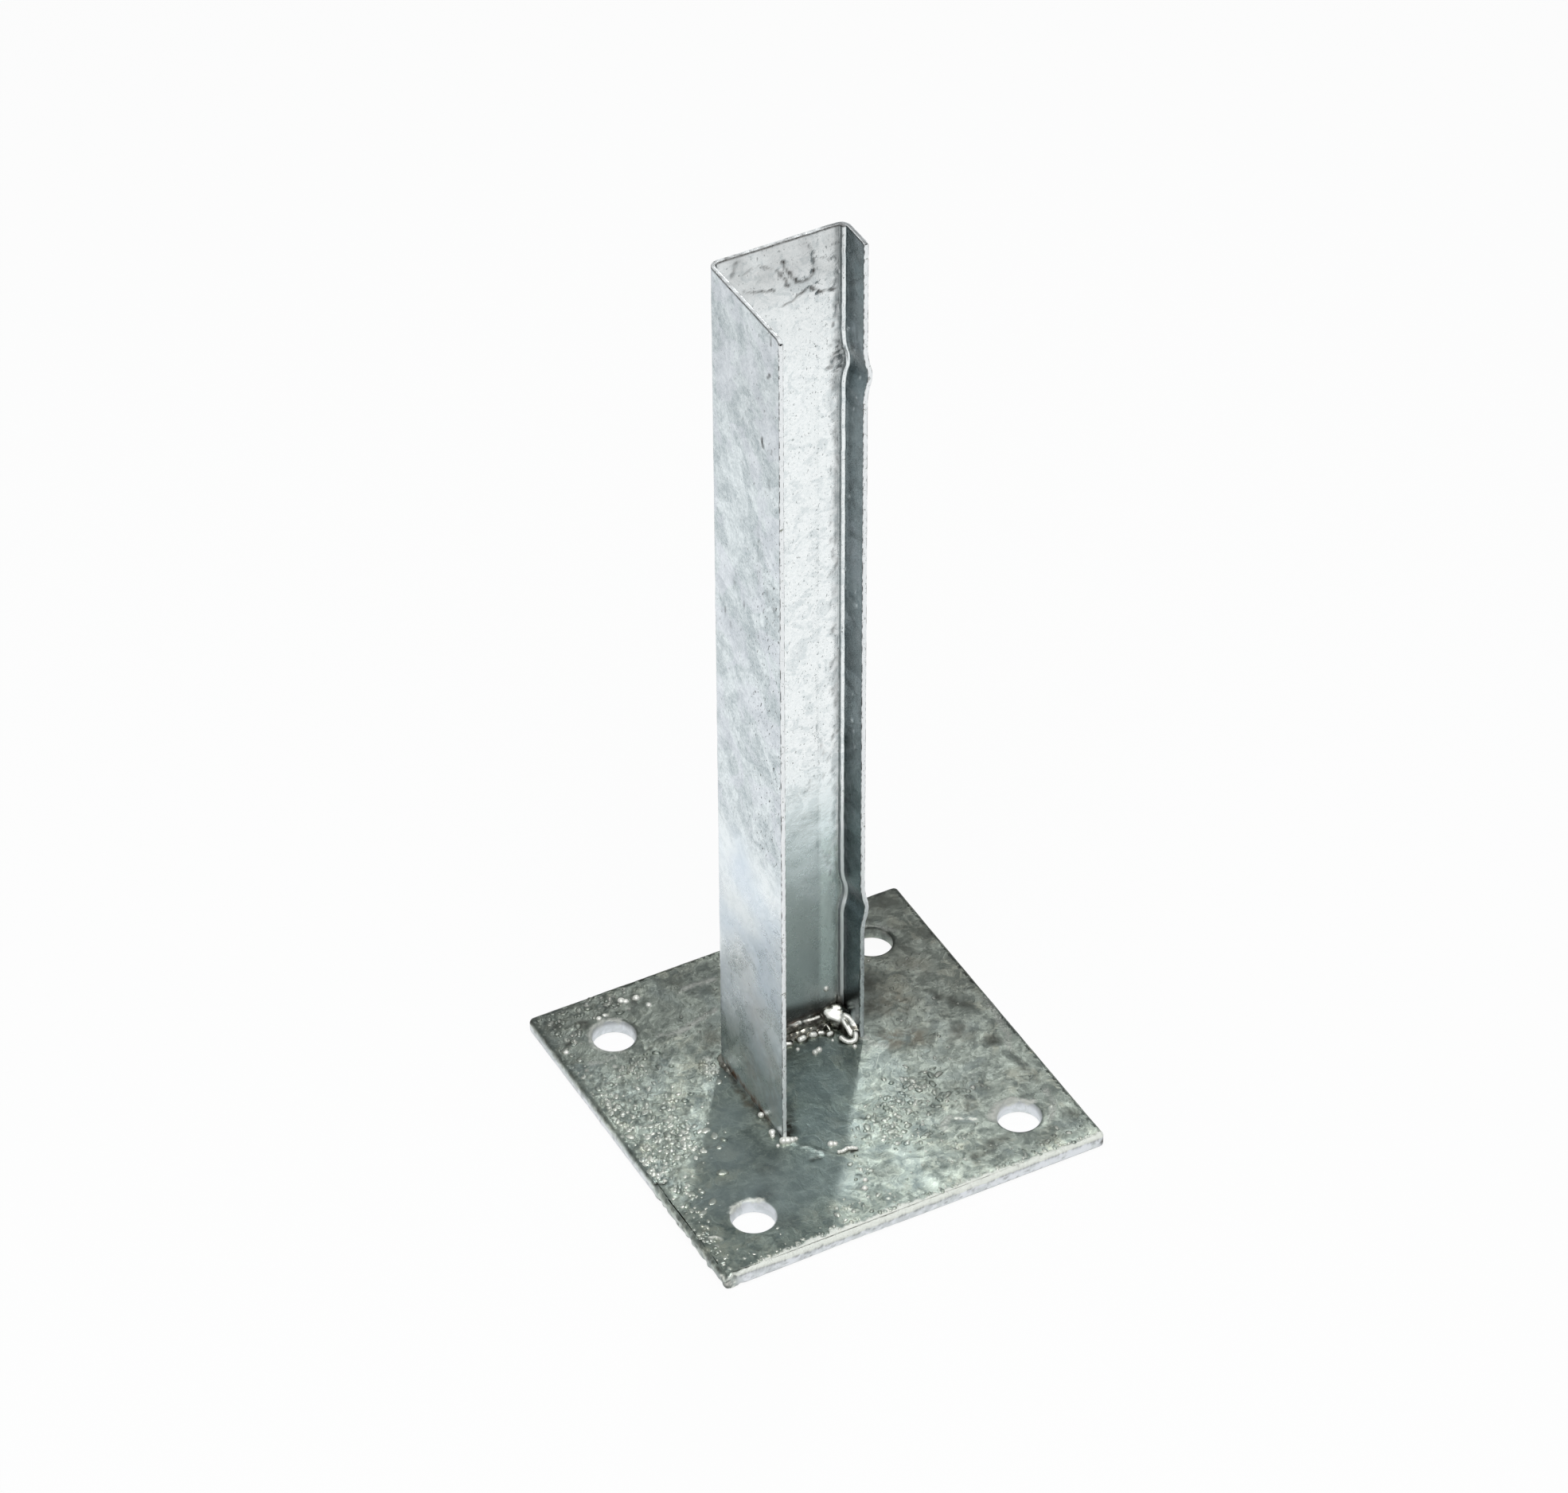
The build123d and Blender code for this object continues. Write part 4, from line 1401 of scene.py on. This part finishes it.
# Inside bead. Heights are above the plate, and a face is a line of points on the metal's surface
# where it looks up and forwards: radius of the metal there, radius and strength of the shine, points
crestLine = [
    (-22.6, 22.4, 2.6), (-8, 22.3, 2.5), (1.5, 22.4, 2.7), (5.6, 22.3, 2.8), (8, 22.2, 2.4),
    (10.6, 22, 2.3), (13, 21.9, 2.7), (15.6, 21.8, 3.2),
]
beadCore = [
    (20.6, 19.6, 1, 4.2), (21.8, 16.4, 0.8, 3.4), (22.4, 13.4, 0.6, 2.4), (22.2, 11.2, 0.2, 1.8),
]
beadFaces = [
    (4.2, 1.6, 1.4, [(16.8, 20.8, 5.9), (18.2, 20.2, 6.1), (19.3, 19.1, 5.7), (20.4, 17.8, 5.3),
        (21.4, 16.8, 5)]),
    (2.2, 1.5, 1.4, [(16.9, 19.7, 5.3), (18.1, 18.6, 5), (19.3, 17.4, 4.6), (20.5, 16.3, 4.4)]),
    (2.4, 1.4, 0.5, [(19.5, 20.8, 6.9), (21, 19.9, 6.9)]),
    (1.5, 1.5, 1.2, [(21.7, 16.6, 5.9), (22.6, 15.5, 5.5), (23, 14.3, 4.9), (23.1, 13.2, 4.2)]),
    (1.1, 1.2, 1.4, [(20.4, 15.5, 4.7), (20.5, 14.4, 4.1), (20.7, 13.3, 3.4), (20.8, 12.2, 2.7),
        (20.9, 10.9, 1.9)]),
    (1.1, 1.4, 1.4, [(17, 10.7, 1.9), (17.6, 9.5, 1.5), (18.5, 8.4, 1.2), (19.7, 7.8, 1.2),
        (20.9, 7.7, 1.5), (21.7, 8.5, 2.3), (22, 9.3, 2.9)]),
    (1.8, 1.3, 0.9, [(2.3, 22.6, 3.9), (3.6, 22.6, 4.3), (4.9, 22.4, 4.6), (6.4, 22, 4.7)]),
    (1.6, 0.9, 0.45, [(7.8, 22, 4.5), (9.3, 21.9, 4.5), (10.4, 21.5, 4.6), (11.4, 21.2, 4.8),
        (13.6, 21, 5)]),
    (1.7, 1.5, 1.4, [(4, 17.2, 1.6), (5.4, 17.2, 1.8)]),
    (1.6, 1.5, 1.4, [(8.8, 17.5, 1.6), (9.8, 17.2, 1.5)]),
    (1.1, 1.1, 1, [(12, 17.2, 1.3), (12.8, 16.8, 1.3)]),
    (1.2, 1.2, 1.3, [(14.3, 15, 1.3), (15.3, 15, 1.4)]),
    (0.6, 0.6, 0.4, [(15.3, 18.1, 2.5), (15.5, 17.1, 2), (15.5, 16.2, 1.4)]),
    (1.4, 1, 0.9, [(-1.2, 17.6, 1.4), (0, 17.2, 1.3)]),
    (1.3, 1, 0.9, [(-6.4, 17.7, 1.4), (-5.2, 17.3, 1.3)]),
    (1.4, 1, 0.9, [(-11.8, 17.6, 1.5), (-10.6, 17.4, 1.4)]),
    (1.3, 1, 0.9, [(-16.8, 17.4, 1.4), (-15.6, 17.2, 1.3)]),
    (1.3, 1, 0.9, [(-21.6, 17.2, 1.4), (-20.6, 17, 1.3)]),
    (1.6, 1.1, 0.8, [(-14, 22.2, 4.2), (-9, 22.2, 4.1)]),
    (1.6, 1.1, 0.8, [(-22, 22.2, 4.2), (-19, 22.2, 4.1)]),
]
sootyHollows = [
    (-18, 19.4, 2.2), (-13, 19.4, 2.2), (-8, 19.4, 2.2), (-3.5, 19.4, 2.2), (2.4, 19.4, 1.8),
    (1, 18.6, 1.6), (7, 19.6, 2), (13.4, 18.8, 1.8), (17.6, 15.6, 1.4), (18.4, 13.8, 1.2), (18.8, 12.2, 1),
    (19.2, 15.2, 2.4),
]


def alongSeam(corners, radius, pitch):
    # points every pitch along straight runs joined by an arc at each corner, with the length so far
    route = [Vector(corners[0])]
    for before, corner, after in zip(corners, corners[1:], corners[2:]):
        before, corner, after = Vector(before), Vector(corner), Vector(after)
        into = (corner - before).normalized()
        out = (after - corner).normalized()
        for step in range(beads["arcSteps"] + 1):
            turn = math.pi / 2 * step / beads["arcSteps"]
            route.append(corner - into * radius * (1 - math.sin(turn)) + out * radius * (1 - math.cos(turn)))
    route.append(Vector(corners[-1]))
    lengths = [0.0]
    for start, stop in zip(route, route[1:]):
        lengths.append(lengths[-1] + (stop - start).length)
    total = lengths[-1]
    count = round(total / pitch)
    placed = []
    for index in range(count + 1):
        run = total * index / count
        part = max(k for k in range(len(route) - 1) if lengths[k] <= run + 1e-9)
        share = (run - lengths[part]) / (lengths[part + 1] - lengths[part])
        placed.append((route[part].lerp(route[part + 1], share), run, total))
    return placed


def rowOf(line, gap):
    # places along a line whose heights are above the plate, its end too
    return [place + Vector((0, 0, plateTop)) for place in pointsAlong(line, gap) + [Vector(line[-1])]]


def rootBall(place, leg):
    # ball of metal along a bead's root, which stands out of the plate and the sheet by the bead's leg
    return (place.x, place.y, beadLevel, math.hypot(leg + beads["sink"], beads["sink"]))


def makeInsideBead(material):
    half = flangeInside + beads["sink"]
    back = webInside + beads["sink"]
    corners = [(-half, back), (half, back), (half, shortEdge + beads["insideStop"])]
    facing = Vector(beads["facing"])
    balls, dabs = [], []
    for place, run, total in alongSeam(corners, sheet["bendRadius"] + beads["sink"], beads["finePitch"]):
        leg = between(beads["legAtStart"], beads["legAtEnd"], ease(run / total, 0.5, 0.8))
        balls.append(rootBall(place, leg + 0.4 * lumps(run, 0, 0, 2.7)))
    for spot in rowOf(crestLine, 0.6):
        balls.append((*spot, 1.9 + 0.25 * lumps(spot.x, 0, 0, 3.0, 2.0)))
        dabs.append(("dirt", between(0.45, 0.85, ease(spot.x, 5.5, 8.5)), 2.6, spot + facing * 1.6))
    balls += [(x, y, plateTop + height, radius) for x, y, height, radius in beadCore]
    for radius, shineRadius, shine, line in beadFaces:
        for spot in rowOf(line, 0.5):
            balls.append((*(spot - facing * radius), radius))
            dabs.append(("glint", shine, shineRadius, spot))
    dabs += [("dirt", 1.2, 2.2, (x, y, plateTop + height)) for x, y, height in sootyHollows]
    inner = flangeInside + beads["insideLap"]
    cuts = [plateCut, ((0, webInside + beads["insideLap"], 0), (0, 1, 0))]
    cuts += [((inner, 0, 0), (1, 0, 0)), ((-inner, 0, 0), (-1, 0, 0))]
    mesh = fuse("zincBeadInside", balls, beads["voxel"], cuts)
    paintBead(mesh, dabs)
    placePiece("zincBeadInside", mesh, material, ["weld_inside"])


def makeBehindBead(material):
    shaker = random.Random(beads["seed"] + 1)
    half = sheet["halfWidth"] - beads["sink"]
    back = uprightBox[1].y - beads["sink"]
    ends = uprightBox[1].y - bendOuter - beads["behindWrap"]
    corners = [(-half, ends), (-half, back), (half, back), (half, ends)]
    balls, dabs = [], []
    for place, run, total in alongSeam(corners, bendOuter - beads["sink"], beads["pitch"]):
        taper = min(1.0, min(run, total - run) / beads["behindTaper"])
        leg = between(beads["behindLegAtEnds"], beads["behindLeg"], taper) + shaker.uniform(-0.35, 0.2)
        balls.append(rootBall(place, leg))
        if leg > 1.5:   # a ripple of its own, and spatter beside it
            away = place - Vector((0, uprightBox[1].y - 12))
            spot = place + away.normalized() * (leg + 0.7)
            balls.append((spot.x, spot.y, plateTop + 0.3, shaker.uniform(0.6, 1.2)))
            balls.append((place.x, place.y, plateTop + 0.7 * leg, shaker.uniform(1.6, 2.2)))
            dabs.append(("dirt", shaker.uniform(0.2, 0.8), 1.6, (spot.x, spot.y, plateTop + 1.6)))
        dabs.append(("glint", 0.8, 1.4, (place.x, place.y, plateTop + leg)))
    mesh = fuse("zincBeadBehind", balls, beads["voxel"], [plateCut])
    paintBead(mesh, dabs)
    placePiece("zincBeadBehind", mesh, material, ["weld_behind"])


# Drops and a ridge of zinc that ran off the long flange's foot, and drops near the inside bead:
# x, y, height above the plate, radius
looseDrops = [
    (-26.2, -9.8, 0.5, 1.2), (-27, -19.4, 0.5, 1.3), (-27.6, -20.9, 0.3, 0.9), (-28.2, -25.9, 0.1, 0.7),
    (-25.5, -25, 0.3, 1.6), (-24, -25.6, 0.3, 1.5), (-22.6, -25.9, 0.2, 1.3), (-21.2, -25.9, 0.2, 0.9),
    (-11.5, -33.9, -0.2, 1.4), (-10.2, -34.4, -0.2, 1.1), (6, 9.8, 0.2, 1.2), (7.9, 10.3, 0.2, 1.2),
    (1.4, 14.3, 0.1, 0.8), (19.8, 5.9, 0.1, 0.9), (14.6, 12.6, 0, 0.6), (-9.9, -55.4, -0.1, 1),
    (-12, -59, -0.1, 1.2), (-41.6, 67, -0.3, 1.5), (-40.2, 66, -0.4, 1.2), (-33.9, 60.4, -0.3, 1.1),
    (-36.2, 65.8, -0.3, 1.4), (-52.8, 62.5, -0.3, 1.1), (-50.4, 62.9, -0.4, 1.1), (-71.1, 52.1, -0.2, 1.1),
]
sliverLine = [
    (-11.2, -38.9), (-9.4, -39.1), (-7.7, -38.9), (-6.2, -39.6), (-4.6, -40.2),
]
webDrops = [(17.4, 15.5, 1.15), (23.4, 10.9, 0.7)]   # x, height above the plate, radius


def makeDrops(material):
    shaker = random.Random(beads["seed"] + 2)
    balls = [(x, y, plateTop + height, radius) for x, y, height, radius in looseDrops]
    balls += [(x, webInside, plateTop + height, radius) for x, height, radius in webDrops]
    for x, y in pointsAlong(sliverLine, 0.45):
        place = (x, y + shaker.uniform(-0.2, 0.2), plateTop + shaker.uniform(0.2, 0.5))
        balls.append((*place, shaker.uniform(0.5, 0.85)))
    mesh = fuse("zincDrops", balls, beads["dropVoxel"])
    dabs = [("glint", 1.3, 1.5 * radius + 0.4, (x, y, z + 0.6 * radius)) for x, y, z, radius in balls]
    # painted shadow under the sliver
    dabs += [("dirt", 0.9, 0.7, (x, y - 0.5, plateTop + 0.1)) for x, y in sliverLine]
    paintBead(mesh, dabs)
    placePiece("zincDrops", mesh, material)


# Camera at the photo's angle, from the perspective fit
view = {
    "target": (8.74, 37.10, 126.0),
    "distance": 2201.5,
    "azimuth": -28.229,
    "elevation": 39.857,
    "roll": -0.268,
    "lens": 146.78,
    "sensor": 36.0,
    "clip": (0.05, 50.0),   # metres
}


def makeCamera():
    azimuth, elevation = math.radians(view["azimuth"]), math.radians(view["elevation"])
    flat = math.cos(elevation)
    back = Vector((math.sin(azimuth) * flat, -math.cos(azimuth) * flat, math.sin(elevation)))
    data = bpy.data.cameras.new("camera")
    data.lens = view["lens"]
    data.sensor_width = view["sensor"]
    data.clip_start, data.clip_end = view["clip"]
    camera = bpy.data.objects.new("camera", data)
    across = Vector((0, 0, 1)).cross(back).normalized()
    facing = Matrix((across, back.cross(across), back)).transposed().to_4x4()
    roll = Matrix.Rotation(math.radians(view["roll"]), 4, "Z")
    place = (Vector(view["target"]) + back * view["distance"]) * mm
    camera.matrix_world = Matrix.Translation(place) @ (facing @ roll)
    bpy.context.scene.collection.objects.link(camera)
    bpy.context.scene.camera = camera


# Pale floor and plain studio light, in metres and watts
studio = {
    "floorSize": 14.0,
    "floorDrop": 0.0002,   # so that the floor and the plate's underside don't share a plane
    "floorColour": colour(0.97, 0.97, 0.97),
    "whiteShare": 0.92,   # of the floor as the camera sees it; the rest is paper that shows the shadow
    "worldColour": colour(0.95, 1.0, 1.0),
    "worldStrength": 0.32,
    "overheadPower": 17.0,
    "overheadSize": 1.3,
    "overheadPlace": (-0.35, -0.55, 1.55),
    "backLightPower": 1.6,
    "backLightSize": 0.07,
    "backLightPlace": (0.62, 0.86, 1.12),
    "aim": (0.0, 0.0, 0.05),
}


def addLamp(name):
    data = bpy.data.lights.new(name, "AREA")
    data.shape = "SQUARE"
    data.size = studio[name + "Size"]
    data.energy = studio[name + "Power"]
    lamp = bpy.data.objects.new(name, data)
    lamp.location = studio[name + "Place"]
    lamp.rotation_mode = "QUATERNION"
    lamp.rotation_quaternion = (lamp.location - Vector(studio["aim"])).to_track_quat("Z", "Y")
    bpy.context.scene.collection.objects.link(lamp)


def makeStudio():
    half = studio["floorSize"] / 2
    mesh = bpy.data.meshes.new("floor")
    corners = [(-half, -half, 0), (half, -half, 0), (half, half, 0), (-half, half, 0)]
    mesh.from_pydata(corners, [], [(0, 1, 2, 3)])
    floor = bpy.data.objects.new("floor", mesh)
    floor.location.z = cadBox[0].z - studio["floorDrop"]
    bpy.context.scene.collection.objects.link(floor)
    material = bpy.data.materials.new("floorPaper")
    material.use_nodes = True
    material.node_tree.nodes.clear()
    start = Field(material.node_tree)
    rays = start.node("ShaderNodeLightPath")
    seen = rays.other("Is Camera Ray").most(rays.other("Is Glossy Ray"))
    seen = seen.most(rays.other("Is Transmission Ray"))
    paper = start.node("ShaderNodeBsdfDiffuse", {}, {"Color": studio["floorColour"]})
    white = start.node("ShaderNodeEmission", {}, {"Strength": 1.0})
    both = start.node("ShaderNodeMixShader", {}, {0: seen * studio["whiteShare"], 1: paper, 2: white})
    start.node("ShaderNodeOutputMaterial", {}, {"Surface": both})
    mesh.materials.append(material)
    world = bpy.data.worlds.new("world")
    world.use_nodes = True
    backdrop = world.node_tree.nodes["Background"]
    backdrop.inputs["Color"].default_value = studio["worldColour"]
    backdrop.inputs["Strength"].default_value = studio["worldStrength"]
    bpy.context.scene.world = world
    addLamp("overhead")
    addLamp("backLight")
    bpy.context.scene.view_settings.view_transform = "Standard"


weldMaterial = makeWeldZinc()
plateMaterial = makePlateZinc()
makePlate(plateMaterial)
makeCrumbs(plateMaterial)
makeUpright(makeSheetZinc())
makeInsideBead(weldMaterial)
makeBehindBead(weldMaterial)
makeDrops(weldMaterial)
makeCamera()
makeStudio()
bpy.context.view_layer.update()
